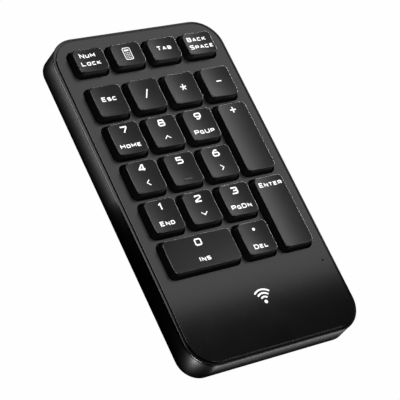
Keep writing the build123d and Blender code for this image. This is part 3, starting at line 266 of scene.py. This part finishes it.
def cell_sleeve(name):
    """A battery's plain slate-grey sleeve, paler near both ends, and the bare metal of its ends."""
    slate = (0.10, 0.12, 0.145)
    pale = (0.42, 0.44, 0.46)
    pale_length = 4.5 * MM
    bare_length = 1.5 * MM
    edge_blur = 0.1 * MM
    material, tree, shader = new_material(name)
    low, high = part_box("battery_cell_back")
    length = high.x - low.x
    reach = share_from_middle(tree)
    pale_from = 0.5 - (pale_length + edge_blur) / length
    bare_from = 0.5 - (bare_length + edge_blur) / length
    band = ramp(tree, reach, 0, 1, pale_from, pale_from + edge_blur / length)
    cap = ramp(tree, reach, 0, 1, bare_from, bare_from + edge_blur / length)
    colour_by(tree, shader, band, slate, pale)
    tree.links.new(cap, shader.inputs["Metallic"])
    roughness_by(tree, shader, noise(tree, 3 * MM), 0.22, 0.34)
    bump(tree, shader, (noise(tree, 1.2 * MM), 0.01 * MM))
    return material


def printed_ink(name):
    """White pad-printed ink, a little uneven."""
    wear_size = 0.5 * MM
    wear_depth = 0.004 * MM
    material, tree, shader = new_material(name)
    wear = noise(tree, wear_size, detail=4.0)
    colour_by(tree, shader, ramp(tree, wear, 0, 1), (0.90, 0.90, 0.90), (0.98, 0.98, 0.98))
    roughness_by(tree, shader, wear, 0.45, 0.6)
    bump(tree, shader, (wear, wear_depth))
    return material


# Moulded plastic, metal and rubber: the darkest and lightest colour of their mottling, then roughness.
SLOT_MATERIALS = {
    "deck_plastic": moulded("deck_plastic", (0.0008, 0.0008, 0.0009), (0.0014, 0.0014, 0.0015), 0.27),
    "base_plastic": moulded("base_plastic", (0.0018, 0.0018, 0.0019), (0.0026, 0.0026, 0.0027), 0.36),
    "key_plastic": moulded("key_plastic", (0.0026, 0.0026, 0.0027), (0.0034, 0.0034, 0.0035), 0.29),
    "white_plastic": moulded("white_plastic", (0.62, 0.62, 0.60), (0.72, 0.72, 0.70), 0.45),
    "foot_rubber": rubber("foot_rubber", (0.010, 0.010, 0.010), (0.022, 0.022, 0.022)),
    "silicone": translucent("silicone", (0.52, 0.55, 0.58), 0.5, 0.35),
    "film": circuit_film("film"),
    "steel": metal("steel", (0.50, 0.51, 0.52), (0.64, 0.65, 0.66), 0.36, (1, 12, 12)),
    "screw_steel": metal("screw_steel", (0.08, 0.08, 0.085), (0.14, 0.14, 0.145), 0.38),
    "nickel": metal("nickel", (0.60, 0.59, 0.57), (0.74, 0.73, 0.71), 0.26, (1, 8, 8)),
    "gold": metal("gold", (0.72, 0.52, 0.18), (0.86, 0.66, 0.28), 0.25),
    "board": circuit_board("board"),
    "chip_epoxy": moulded("chip_epoxy", (0.012, 0.012, 0.013), (0.020, 0.020, 0.021), 0.6, 0.12 * MM),
    "clear_plastic": translucent("clear_plastic", (0.80, 0.83, 0.85), 0.12, 0.85),
    "cell_label": cell_sleeve("cell_label"),
    "lead_red": moulded("lead_red", (0.34, 0.02, 0.015), (0.44, 0.03, 0.02), 0.4),
    "lead_black": moulded("lead_black", (0.010, 0.010, 0.010), (0.018, 0.018, 0.018), 0.4),
}
INK = printed_ink("legend_ink")


def dress_cad_nodes():
    """Gives every CAD node the material of its slot."""
    for entry in frame["record"]["subparts"]:
        slots = NODES[entry["node"]].data.materials
        slots.clear()
        slots.append(SLOT_MATERIALS[entry["material_slot"]])


# ---------------------------------------------------------------- the legends' stroke letters
# Each sign is drawn with straight strokes in a box one high and one wide. The number before them says
# how wide that box really is for its height. A closed stroke ends where it starts.
CUT = 0.16  # how much of a corner is cut off
FAR = 1 - CUT
BOX = ((CUT, 0), (FAR, 0), (1, CUT), (1, FAR), (FAR, 1), (CUT, 1), (0, FAR), (0, CUT), (CUT, 0))
OPEN_BOX = ((1, 1), (CUT, 1), (0, FAR), (0, CUT), (CUT, 0), (1, 0))
STEM_AND_LOOP = ((0, 0), (0, 1), (FAR, 1), (1, 0.88), (1, 0.54), (FAR, 0.42), (0, 0.42))
SIX = (
    (0.86, 1), (0.36, 1), (0, 0.58), (0, 0.13), (CUT, 0), (FAR, 0), (1, 0.13), (1, 0.45), (FAR, 0.58),
    (0.02, 0.58),
)


def half_turn(stroke):
    """A stroke turned upside down in its box."""
    return tuple((1 - x, 1 - y) for x, y in stroke)


SIGNS = {
    "0": (1.0, [BOX]),
    "1": (0.5, [((0.1, 0.80), (0.75, 1), (0.75, 0))]),
    "2": (1.0, [((0, 0.80), (CUT, 1), (FAR, 1), (1, 0.86), (1, 0.66), (0, 0.16), (0, 0), (1, 0))]),
    "3": (1.0, [
        ((0, 1), (FAR, 1), (1, 0.88), (1, 0.63), (FAR, 0.51), (0.3, 0.51)),
        ((FAR, 0.51), (1, 0.39), (1, 0.13), (FAR, 0), (0, 0)),
    ]),
    "4": (1.05, [((0.72, 0), (0.72, 1), (0.56, 1), (0, 0.34), (0, 0.27), (1, 0.27))]),
    "5": (1.0, [(
        (0.95, 1), (0.05, 1), (0.05, 0.58), (FAR, 0.58), (1, 0.45), (1, 0.13), (FAR, 0), (0, 0),
    )]),
    "6": (1.0, [SIX]),
    "7": (1.0, [((0, 1), (1, 1), (1, 0.86), (0.42, 0))]),
    "8": (1.0, [
        (
            (0.2, 0.53), (0.08, 0.64), (0.08, 0.88), (0.2, 1), (0.8, 1), (0.92, 0.88), (0.92, 0.64),
            (0.8, 0.53),
        ),
        (
            (CUT, 0.53), (FAR, 0.53), (1, 0.4), (1, 0.13), (FAR, 0), (CUT, 0), (0, 0.13), (0, 0.4),
            (CUT, 0.53),
        ),
    ]),
    "9": (1.0, [half_turn(SIX)]),
    "A": (1.05, [((0, 0), (0.44, 1), (0.56, 1), (1, 0)), ((0.2, 0.33), (0.8, 0.33))]),
    "B": (1.0, [
        ((0, 0), (0, 1), (0.8, 1), (0.94, 0.9), (0.94, 0.6), (0.82, 0.5)),
        ((0, 0.5), (0.82, 0.5), (1, 0.38), (1, CUT), (0.82, 0), (0, 0)),
    ]),
    "C": (1.0, [OPEN_BOX]),
    "D": (1.0, [((0, 0), (0, 1), (0.72, 1), (1, 0.76), (1, 0.24), (0.72, 0), (0, 0))]),
    "E": (0.9, [((1, 1), (0, 1), (0, 0), (1, 0)), ((0, 0.52), (0.85, 0.52))]),
    "G": (1.0, [OPEN_BOX + ((1, 0.45), (0.55, 0.45))]),
    "H": (1.0, [((0, 0), (0, 1)), ((1, 0), (1, 1)), ((0, 0.52), (1, 0.52))]),
    "I": (0.0, [((0, 0), (0, 1))]),
    "K": (1.0, [((0, 0), (0, 1)), ((0.92, 1), (0.12, 0.5), (1, 0))]),
    "L": (0.9, [((0, 1), (0, 0), (1, 0))]),
    "M": (1.25, [((0, 0), (0, 1), (0.5, 0.35), (1, 1), (1, 0))]),
    "N": (1.0, [((0, 0), (0, 1), (1, 0), (1, 1))]),
    "O": (1.0, [BOX]),
    "P": (1.0, [STEM_AND_LOOP]),
    "R": (1.0, [STEM_AND_LOOP, ((0.45, 0.42), (1, 0))]),
    "S": (1.0, [(
        (1, 1), (CUT, 1), (0, 0.88), (0, 0.64), (CUT, 0.53), (FAR, 0.53), (1, 0.42), (1, 0.12), (FAR, 0),
        (0, 0),
    )]),
    "T": (1.0, [((0, 1), (1, 1)), ((0.5, 1), (0.5, 0))]),
    "U": (1.0, [((0, 1), (0, CUT), (CUT, 0), (FAR, 0), (1, CUT), (1, 1))]),
    "/": (0.5, [((0, 0), (1, 1))]),
    "-": (1.0, [((0, 0.5), (1, 0.5))]),
    "+": (1.0, [((0, 0.5), (1, 0.5)), ((0.5, 0), (0.5, 1))]),
    "up": (2.0, [((0, 0), (0.5, 1), (1, 0))]),
    "down": (2.0, [((0, 1), (0.5, 0), (1, 1))]),
    "left": (0.5, [((1, 1), (0, 0.5), (1, 0))]),
    "right": (0.5, [((0, 1), (1, 0.5), (0, 0))]),
}

DIGIT_HEIGHT = 2.65 * MM
DIGIT_STROKE = 0.66 * MM
CAPITAL_HEIGHT = 1.75 * MM
WORD_STROKE = 0.46 * MM
LETTER_GAP = 1.02 * MM
ARROW_STROKE = 0.42 * MM
ARROW_HEIGHTS = {"up": 1.35 * MM, "down": 1.35 * MM, "left": 2.6 * MM, "right": 2.6 * MM}
SMALL_CAPITAL = 0.78  # a small capital's height, as a share of a tall one's
LETTER_ASPECT = 1.10  # how much wider than its box a letter is drawn
SIGN_ASPECT = 1.08  # and a sign that stands alone
SECOND_WORD_STARTS = {"PGUP": 2, "PGDN": 2}  # where a second word starts, with a tall letter of its own
FILLED = None  # stands in for a thickness where a closed stroke is filled in
INK_PROUD = 0.03 * MM
INK_SUNK = 0.04 * MM


def sign_strokes(sign, left, base, height, aspect):
    """A sign's strokes in key coordinates, and how wide it came out."""
    width_ratio, strokes = SIGNS[sign]
    width = width_ratio * aspect * height
    placed = [[(left + x * width, base + y * height) for x, y in stroke] for stroke in strokes]
    return placed, width


def inked(strokes, thickness):
    """Pairs each stroke with its thickness."""
    return [(stroke, thickness) for stroke in strokes]


def symbol(sign, x, y, height, thickness):
    """One inked sign centred on (x, y)."""
    _, width = sign_strokes(sign, 0, 0, height, SIGN_ASPECT)
    strokes, _ = sign_strokes(sign, x - width / 2, y - height / 2, height, SIGN_ASPECT)
    return inked(strokes, thickness)


def word(text, x, y):
    """An inked word with a tall first letter and smaller capitals after it, centred on (x, y)."""
    heights = [CAPITAL_HEIGHT] + [CAPITAL_HEIGHT * SMALL_CAPITAL] * (len(text) - 1)
    if text in SECOND_WORD_STARTS:
        heights[SECOND_WORD_STARTS[text]] = CAPITAL_HEIGHT
    widths = [SIGNS[letter][0] * LETTER_ASPECT * height for letter, height in zip(text, heights)]
    left = x - (sum(widths) + LETTER_GAP * (len(text) - 1)) / 2
    strokes = []
    for letter, height, width in zip(text, heights, widths):
        placed, _ = sign_strokes(letter, left, y - CAPITAL_HEIGHT / 2, height, LETTER_ASPECT)
        strokes += placed
        left += width + LETTER_GAP
    return inked(strokes, WORD_STROKE)


def star(x, y, radius, thickness, arms=5):
    """An inked asterisk."""
    tips = [math.radians(90 + 360 * arm / arms) for arm in range(arms)]
    strokes = [[(x, y), (x + radius * math.cos(a), y + radius * math.sin(a))] for a in tips]
    return inked(strokes, thickness)


def arc(x, y, radius, start=0.0, end=360.0, steps=24):
    """An arc as a stroke; a full turn closes on itself."""
    angles = [math.radians(start + (end - start) * step / steps) for step in range(steps + 1)]
    return [(x + radius * math.cos(a), y + radius * math.sin(a)) for a in angles]


def dot(x, y, radius):
    """An inked round dot."""
    return [(arc(x, y, radius), FILLED)]


def rounded_frame(x, y, width, height, corner):
    """A closed rounded rectangle stroke."""
    points = []
    for side_x, side_y, start in ((1, 1, 0), (-1, 1, 90), (-1, -1, 180), (1, -1, 270)):
        middle = (x + side_x * (width / 2 - corner), y + side_y * (height / 2 - corner))
        points += arc(*middle, corner, start, start + 90, steps=4)
    return points + points[:1]


def bar(x, y, half_width, height):
    """An inked level bar centred on (x, y)."""
    return [([(x - half_width, y), (x + half_width, y)], height)]


def calculator_icon(x, y):
    """A calculator in outline: its case, a display and a grid of twelve keys."""
    width = 3.7 * MM
    height = 5.9 * MM
    corner = 0.6 * MM
    outline = 0.36 * MM
    display_drop = 1.25 * MM
    columns = 3
    rows = 4
    column_pitch = 0.9 * MM
    row_pitch = 0.85 * MM
    top_row = 0.45 * MM
    drawn = [(rounded_frame(x, y, width, height, corner), outline)]
    drawn += bar(x, y + height / 2 - display_drop, 1.15 * MM, 0.8 * MM)
    for row in range(rows):
        for column in range(columns):
            key_x = x + (column - 1) * column_pitch
            key_y = y + top_row - row * row_pitch
            drawn += bar(key_x, key_y, 0.25 * MM, 0.4 * MM)
    return drawn


def digit(sign):
    """A digit near the keycap's back edge."""
    return symbol(sign, -0.1 * MM, 4.15 * MM, DIGIT_HEIGHT, DIGIT_STROKE)


def digit_and_word(sign, text):
    """A digit, with a word near the keycap's front edge."""
    return digit(sign) + word(text, -0.3 * MM, -3.6 * MM)


def digit_and_arrow(sign, arrow):
    """A digit, with an arrow near the keycap's front edge."""
    return digit(sign) + symbol(arrow, -0.1 * MM, -3.05 * MM, ARROW_HEIGHTS[arrow], ARROW_STROKE)


# What is printed on each keycap, as (stroke, thickness) pairs placed from the middle of its box.
LEGENDS = {
    "key_num_lock": word("NUM", -0.8 * MM, 2.4 * MM) + word("LOCK", -0.5 * MM, -1.6 * MM),
    "key_calculator": calculator_icon(0, 0.25 * MM),
    "key_tab": word("TAB", 0, 0.4 * MM),
    "key_backspace": word("BACK", -0.8 * MM, 2.2 * MM) + word("SPACE", 0.2 * MM, -1.8 * MM),
    "key_escape": word("ESC", -0.1 * MM, 0.9 * MM),
    "key_divide": symbol("/", -0.1 * MM, 0.35 * MM, 4.2 * MM, 0.6 * MM),
    "key_multiply": star(0.1 * MM, 0.3 * MM, 1.6 * MM, 0.55 * MM),
    "key_minus": symbol("-", 0.2 * MM, 0.35 * MM, 2.5 * MM, 0.6 * MM),
    "key_plus": symbol("+", 0, 13.6 * MM, 2.8 * MM, 0.62 * MM),
    "key_enter": word("ENTER", 0, 13.3 * MM),
    "key_7": digit_and_word("7", "HOME"),
    "key_8": digit_and_arrow("8", "up"),
    "key_9": digit_and_word("9", "PGUP"),
    "key_4": digit_and_arrow("4", "left"),
    "key_5": digit("5"),
    "key_6": digit_and_arrow("6", "right"),
    "key_1": digit_and_word("1", "END"),
    "key_2": digit_and_arrow("2", "down"),
    "key_3": digit_and_word("3", "PGDN"),
    "key_0": digit_and_word("0", "INS"),
    "key_decimal": dot(0, 3.9 * MM, 0.7 * MM) + word("DEL", -0.3 * MM, -4.1 * MM),
}

# ---------------------------------------------------------------- printing on a CAD surface
SAME_PLACE = 1e-9
MITRE_LIMIT = 0.45  # a bend's mitre reaches no further than half a stroke divided by this
ABOVE_ALL_Z = 0.1


def stroke_edges(stroke, thickness):
    """The left and right edge points of a stroke, mitred at its bends, and whether it is closed."""
    points = [Vector(p) for p in stroke]
    closed = (points[0] - points[-1]).length < SAME_PLACE
    if closed:
        points = points[:-1]
    count = len(points)
    left, right = [], []
    for index, point in enumerate(points):
        before = points[index - 1] if closed or index > 0 else None
        after = points[(index + 1) % count] if closed or index < count - 1 else None
        into = (point - before).normalized() if before is not None else None
        out = (after - point).normalized() if after is not None else None
        along = (into or out) if (into is None or out is None) else (into + out).normalized()
        across = Vector((-along.y, along.x))
        reach = thickness / 2
        if into is not None and out is not None:
            reach /= max(MITRE_LIMIT, across.dot(Vector((-into.y, into.x))))
        left.append(point + across * reach)
        right.append(point - across * reach)
    return left, right, closed


def surface_finder(node):
    """A function that gives the height of a CAD node's top surface at (x, y)."""
    mesh = NODES[node].data
    tree = BVHTree.FromPolygons([v.co for v in mesh.vertices], [p.vertices for p in mesh.polygons])

    def height(x, y):
        hit = tree.ray_cast(Vector((x, y, ABOVE_ALL_Z)), Vector((0, 0, -1)))[0]
        if hit is None:
            raise ValueError(f"nothing of {node} lies under {x}, {y}")
        return hit.z

    return height


def add_layer(vertices, height, points, middle):
    """Adds an ink-top and an ink-bottom vertex for each plan point, and returns their index lists."""
    tops, bottoms = [], []
    for point in points:
        x = point[0] + middle.x
        y = point[1] + middle.y
        z = height(x, y)
        tops.append(len(vertices))
        vertices.append((x, y, z + INK_PROUD))
        bottoms.append(len(vertices))
        vertices.append((x, y, z - INK_SUNK))
    return tops, bottoms


def add_filled(vertices, faces, height, outline, middle):
    """A filled outline: its top, its underside and the wall between them."""
    tops, bottoms = add_layer(vertices, height, outline[:-1], middle)
    faces.append(tuple(tops))
    faces.append(tuple(reversed(bottoms)))
    for here in range(len(tops)):
        there = (here + 1) % len(tops)
        faces.append((tops[here], bottoms[here], bottoms[there], tops[there]))


def add_stroke(vertices, faces, height, stroke, thickness, middle):
    """A stroke of an even thickness: its top, its underside, two walls and, if it's open, two ends."""
    left, right, closed = stroke_edges(stroke, thickness)
    left_top, left_low = add_layer(vertices, height, left, middle)
    right_top, right_low = add_layer(vertices, height, right, middle)
    spans = len(left) if closed else len(left) - 1
    for here in range(spans):
        there = (here + 1) % len(left)
        faces.append((right_top[here], right_top[there], left_top[there], left_top[here]))
        faces.append((left_low[here], left_low[there], right_low[there], right_low[here]))
        faces.append((left_top[here], left_top[there], left_low[there], left_low[here]))
        faces.append((right_low[here], right_low[there], right_top[there], right_top[here]))
    if not closed:
        faces.append((left_top[0], left_low[0], right_low[0], right_top[0]))
        faces.append((right_top[-1], right_low[-1], left_low[-1], left_top[-1]))


def link_object(name, data):
    """A new object in the scene that shows a mesh, curve, light or camera."""
    item = bpy.data.objects.new(name, data)
    bpy.context.scene.collection.objects.link(item)
    return item


def link_mesh(name, vertices, faces, material):
    """A new object made from vertices and faces, in the scene."""
    mesh = bpy.data.meshes.new(name)
    mesh.from_pydata(vertices, [], faces)
    mesh.update()
    mesh.materials.append(material)
    return link_object(name, mesh)


def print_on(name, node, body, drawn, middle):
    """Prints strokes on a CAD node as thin closed strips sunk a little into it, riding on its body."""
    height = surface_finder(node)
    vertices, faces = [], []
    for stroke, thickness in drawn:
        if thickness is FILLED:
            add_filled(vertices, faces, height, stroke, middle)
        else:
            add_stroke(vertices, faces, height, stroke, thickness, middle)
    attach(link_mesh(name, vertices, faces, INK), body)


def print_legends():
    """Prints every keycap's legend."""
    for node in KEY_NODES:
        print_on(f"legend_{node}", node, node, LEGENDS[node], centre(node))


def print_wireless_sign():
    """A plain wireless sign, a dot under three arcs, on the deck between the keys and the front edge."""
    right_of_keys_middle = 11 * MM
    share_of_palm = 0.52
    arc_radii = (2.3 * MM, 4.0 * MM, 5.7 * MM)
    arc_start, arc_end = 48, 132
    drawn = dot(0, 0, 0.8 * MM)
    for radius in arc_radii:
        drawn += inked([arc(0, 0, radius, arc_start, arc_end, steps=14)], 0.75 * MM)
    case_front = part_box("top_case")[0].y
    keys_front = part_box("key_decimal")[0].y
    x = centre("key_5").x + right_of_keys_middle
    y = case_front + share_of_palm * (keys_front - case_front)
    print_on("wireless_sign", "top_case", "case", drawn, Vector((x, y, 0)))


# ---------------------------------------------------------------- the rubber domes
SHEET_THICKNESS = 0.3 * MM
SHEET_CORNER = 1.0 * MM
DOME_FOOT_RADIUS = 4.0 * MM
DOME_CROWN_RADIUS = 2.3 * MM
DOME_CROWN_EDGE = 0.35 * MM
DOME_CROWN_THICKNESS = 0.8 * MM
DOME_WALL = 0.45 * MM
DOME_NUB_RADIUS = 1.2 * MM
DOME_NUB_LIFT = 1.0 * MM  # the nub's end over the dome's foot
DOME_WALL_STEPS = 10
DOME_EDGE_STEPS = 4
DOME_TURNS = 40
SHARP_EDGE = math.radians(50)
WELD = 0.001 * MM


def smooth_step(t):
    """Eases from 0 to 1."""
    return t * t * (3 - 2 * t)


def dome_profile(low_z, high_z):
    """Half of a dome's section as (radius, z), from the crown's middle round its foot to the nub's."""
    edge = DOME_CROWN_EDGE
    profile = [(0, high_z), (DOME_CROWN_RADIUS - 2 * edge, high_z)]
    for step in range(DOME_EDGE_STEPS + 1):
        angle = math.radians(90 - 90 * step / DOME_EDGE_STEPS)
        radius = DOME_CROWN_RADIUS - edge + edge * math.cos(angle)
        profile.append((radius, high_z - edge + edge * math.sin(angle)))
    fall = high_z - edge - (low_z + SHEET_THICKNESS)
    for step in range(1, DOME_WALL_STEPS + 1):
        t = step / DOME_WALL_STEPS
        radius = DOME_CROWN_RADIUS + (DOME_FOOT_RADIUS - DOME_CROWN_RADIUS) * smooth_step(t)
        profile.append((radius, high_z - edge - fall * t))
    profile += [(DOME_FOOT_RADIUS, low_z), (DOME_FOOT_RADIUS - DOME_WALL, low_z)]
    hollow_top = high_z - DOME_CROWN_THICKNESS
    for step in range(1, DOME_WALL_STEPS + 1):
        t = step / DOME_WALL_STEPS
        outer = DOME_FOOT_RADIUS + (DOME_CROWN_RADIUS - DOME_FOOT_RADIUS) * smooth_step(t)
        profile.append((outer - DOME_WALL, low_z + (hollow_top - low_z) * t))
    nub_low = low_z + DOME_NUB_LIFT
    profile += [(DOME_NUB_RADIUS, hollow_top), (DOME_NUB_RADIUS, nub_low), (0, nub_low)]
    return profile


def revolve(name, profile, place, material, turns=DOME_TURNS):
    """A closed solid of revolution about an upright axis; its profile starts and ends on the axis."""
    first, *rings, last = profile
    vertices = [(place.x, place.y, first[1])]
    for radius, z in rings:
        for turn in range(turns):
            angle = 2 * math.pi * turn / turns
            x = place.x + radius * math.cos(angle)
            y = place.y + radius * math.sin(angle)
            vertices.append((x, y, z))
    vertices.append((place.x, place.y, last[1]))
    faces = []
    for turn in range(turns):
        after = (turn + 1) % turns
        faces.append((0, 1 + turn, 1 + after))
        for index in range(len(rings) - 1):
            upper = 1 + index * turns
            lower = upper + turns
            faces.append((upper + turn, lower + turn, lower + after, upper + after))
        final = 1 + (len(rings) - 1) * turns
        faces.append((final + turn, len(vertices) - 1, final + after))
    piece = link_mesh(name, vertices, faces, material)
    for face in piece.data.polygons:
        face.use_smooth = True
    piece.data.set_sharp_from_angle(angle=SHARP_EDGE)
    return piece


def filled_outlines(name, outlines, thickness):
    """A flat plate as a mesh, centred on z 0. Its edge is the first closed outline, its holes the rest."""
    curve = bpy.data.curves.new(name, "CURVE")
    curve.dimensions = "2D"
    curve.fill_mode = "BOTH"
    curve.extrude = thickness / 2
    for outline in outlines:
        spline = curve.splines.new("POLY")
        spline.points.add(len(outline) - 2)
        for point, (x, y) in zip(spline.points, outline[:-1]):
            point.co = (x, y, 0, 1)
        spline.use_cyclic_u = True
    drawing = link_object(name, curve)
    bpy.context.view_layer.update()
    mesh = bpy.data.meshes.new_from_object(drawing)
    bpy.data.objects.remove(drawing)
    return mesh


def plate_with_holes(name, low, high, holes, material):
    """A flat plate with round holes, each given as (x, y, radius)."""
    middle = (low + high) / 2
    outlines = [rounded_frame(middle.x, middle.y, high.x - low.x, high.y - low.y, SHEET_CORNER)]
    outlines += [arc(x, y, radius, steps=DOME_TURNS) for x, y, radius in holes]
    mesh = filled_outlines(name, outlines, high.z - low.z)
    build = bmesh.new()
    build.from_mesh(mesh)
    bmesh.ops.remove_doubles(build, verts=build.verts, dist=WELD)
    bmesh.ops.translate(build, verts=build.verts, vec=(0, 0, middle.z))
    bmesh.ops.recalc_face_normals(build, faces=build.faces)
    build.to_mesh(mesh)
    build.free()
    mesh.materials.clear()
    mesh.materials.append(material)
    return link_object(name, mesh)


def make_domes():
    """The silicone sheet and its domes, one under each key."""
    low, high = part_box("dome_sheet")
    silicone = SLOT_MATERIALS["silicone"]
    sheet_high = Vector((high.x, high.y, low.z + SHEET_THICKNESS))
    holes = [(*centre(node).xy, DOME_FOOT_RADIUS - DOME_WALL / 2) for node in KEY_NODES]
    sheet = plate_with_holes("dome_carrier_sheet", low, sheet_high, holes, silicone)
    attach(sheet, "case")
    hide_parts("dome_sheet")
    for node in KEY_NODES:
        place = centre(node)
        dome = revolve(node.replace("key_", "dome_"), dome_profile(low.z, high.z), place, silicone)
        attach(dome, "case")
        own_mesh(dome)


# ---------------------------------------------------------------- floor and lights
FLOOR_HALF = 6.0
FLOOR_GLOW_SHARE = 0.99  # how much of the floor's brightness is its own, where the camera sees it
FLOOR_SEEN_GREY = 0.90
FLOOR_MIRRORED_GREY = 0.10


def floor_material():
    """Bright and without shadows to the camera, and dim in reflections."""
    material, tree, lit = new_material("floor")
    lit.inputs["Base Color"].default_value = (*[FLOOR_SEEN_GREY] * 3, 1)
    lit.inputs["Roughness"].default_value = 0.9
    lit.inputs["Specular IOR Level"].default_value = 0.0
    glow = add(tree, "ShaderNodeEmission", Strength=1.0)
    dim = add(tree, "ShaderNodeBsdfDiffuse", Color=(*[FLOOR_MIRRORED_GREY] * 3, 1))
    seen = add(tree, "ShaderNodeMixShader", Fac=FLOOR_GLOW_SHARE)
    choose = add(tree, "ShaderNodeMixShader")
    rays = add(tree, "ShaderNodeLightPath")
    tree.links.new(lit.outputs["BSDF"], seen.inputs[1])
    tree.links.new(glow.outputs["Emission"], seen.inputs[2])
    tree.links.new(rays.outputs["Is Camera Ray"], choose.inputs["Fac"])
    tree.links.new(dim.outputs["BSDF"], choose.inputs[1])
    tree.links.new(seen.outputs["Shader"], choose.inputs[2])
    tree.links.new(choose.outputs["Shader"], tree.nodes["Material Output"].inputs["Surface"])
    return material


def make_floor():
    """The pale floor that the keypad stands on."""
    corners = [(x * FLOOR_HALF, y * FLOOR_HALF, 0) for x, y in ((-1, -1), (1, -1), (1, 1), (-1, 1))]
    link_mesh("floor", corners, [(0, 1, 2, 3)], floor_material())


# Each light is a rectangle: its place, the point that it faces, its width and height (all in metres), its
# radiance and which pieces it lights. The deck mirrors a near panel and the keys mirror a far one.
LIGHTS = {
    # The keys' soft gradient: a long far panel low on the right, its upper edge along Y.
    "key_sheen": ((0.946, 0.50, 0.75), (0, 0.50, 0), (1.6, 0.40), 2.8, "keys"),
    # The thin light lines on the keys' right and back edges.
    "key_edges": ((0.9, 0.45, 0.05), (0, 0, 0.05), (1.3, 0.2), 24.0, "keys"),
    # Whitens the printing and softly lights the keys' front-left corners.
    "fill": ((-0.55, -0.75, 0.95), (0, 0, 0), (0.8, 0.8), 8.0, "keys"),
    # The deck's sheen, which ends in a soft edge across the palm area.
    "deck_sheen": ((0.036, 0.050, 0.064), (0.036, 0.050, 0), (0.14, 0.174), 1.5, "cover"),
    # The light lines along the left and front edges. Both panels are high and small, because the flat
    # deck mirrors them to anyone who looks from the far side.
    "left_edges": ((-0.085, 0.28, 0.80), (0, 0, 0), (0.4, 0.3), 8.0, "top"),
    "front_edges": ((0.44, -0.32, 0.58), (0, 0, 0), (0.3, 0.2), 5.0, "top"),
    # Patches of bright floor that the case's walls mirror.
    "floor_left": ((-0.072, 0.050, 0.001), (-0.072, 0.050, 1), (0.04, 0.09), 4.5, "case"),
    "floor_front": ((0.01, -0.102, 0.001), (0.01, -0.102, 1), (0.08, 0.035), 2.6, "case"),
    "floor_front_corner": ((-0.060, -0.092, 0.001), (-0.060, -0.092, 1), (0.02, 0.02), 30.0, "case"),
}
WORLD_GLOW = 0.03


def light_groups():
    """The pieces lit by each group of lights. The floor is in none, since it glows by itself."""
    names = ("keys", "cover", "top", "case")
    groups = {name: bpy.data.collections.new(f"lit_as_{name}") for name in names}
    for item in bpy.data.objects:
        if item.type != "MESH" or item.name == "floor":
            continue
        if item.name.startswith(("key_", "legend_", "wireless_sign")) and item.name != "key_frame":
            groups["keys"].objects.link(item)
            groups["top"].objects.link(item)
        else:
            groups["case"].objects.link(item)
    groups["cover"].objects.link(NODES["top_case"])
    groups["top"].objects.link(NODES["top_case"])
    return groups


def area_light(name, place, aim, size, radiance, group):
    """A rectangular softbox at a place, facing an aim point. The camera doesn't see the box itself."""
    data = bpy.data.lights.new(name, "AREA")
    data.shape = "RECTANGLE"
    data.size, data.size_y = size
    data.energy = radiance * size[0] * size[1] * math.pi
    light = link_object(name, data)
    light.location = place
    light.rotation_euler = (Vector(aim) - Vector(place)).to_track_quat("-Z", "Y").to_euler()
    light.visible_camera = False
    light.light_linking.receiver_collection = group


def make_lights():
    """The softboxes and a faint even glow from all round."""
    groups = light_groups()
    for name, (place, aim, size, radiance, lit) in LIGHTS.items():
        area_light(name, place, aim, size, radiance, groups[lit])
    world = bpy.data.worlds.new("world")
    world.use_nodes = True
    sky = world.node_tree.nodes["Background"]
    sky.inputs["Color"].default_value = (1, 1, 1, 1)
    sky.inputs["Strength"].default_value = WORLD_GLOW
    bpy.context.scene.world = world


# ---------------------------------------------------------------- camera
VIEW_TARGET = Vector((-6.4 * MM, -7.5 * MM, DECK_Z))
VIEW_AZIMUTH = math.radians(-59.13)
VIEW_ELEVATION = math.radians(49.93)
VIEW_ROLL = math.radians(39.56)
VIEW_DISTANCE = 705.9 * MM
LENS = 150.3
SENSOR_WIDTH = 36.0
CLIP_NEAR = 0.01
CLIP_FAR = 20.0


def make_camera():
    """The camera, aimed at the deck and rolled about its own axis."""
    back = Vector((
        math.sin(VIEW_AZIMUTH) * math.cos(VIEW_ELEVATION),
        -math.cos(VIEW_AZIMUTH) * math.cos(VIEW_ELEVATION),
        math.sin(VIEW_ELEVATION),
    ))
    level_right = Vector((0, 0, 1)).cross(back).normalized()
    level_up = back.cross(level_right)
    right = level_right * math.cos(VIEW_ROLL) + level_up * math.sin(VIEW_ROLL)
    up = back.cross(right)
    turn = Matrix((right, up, back)).transposed().to_4x4()
    data = bpy.data.cameras.new("camera")
    data.lens = LENS
    data.sensor_width = SENSOR_WIDTH
    data.clip_start = CLIP_NEAR
    data.clip_end = CLIP_FAR
    camera = link_object("camera", data)
    camera.matrix_world = Matrix.Translation(VIEW_TARGET + back * VIEW_DISTANCE) @ turn
    bpy.context.scene.camera = camera


dress_cad_nodes()
make_domes()
print_legends()
print_wireless_sign()
make_floor()
make_lights()
make_camera()
bpy.context.scene.view_settings.view_transform = "Standard"

bpy.context.view_layer.update()
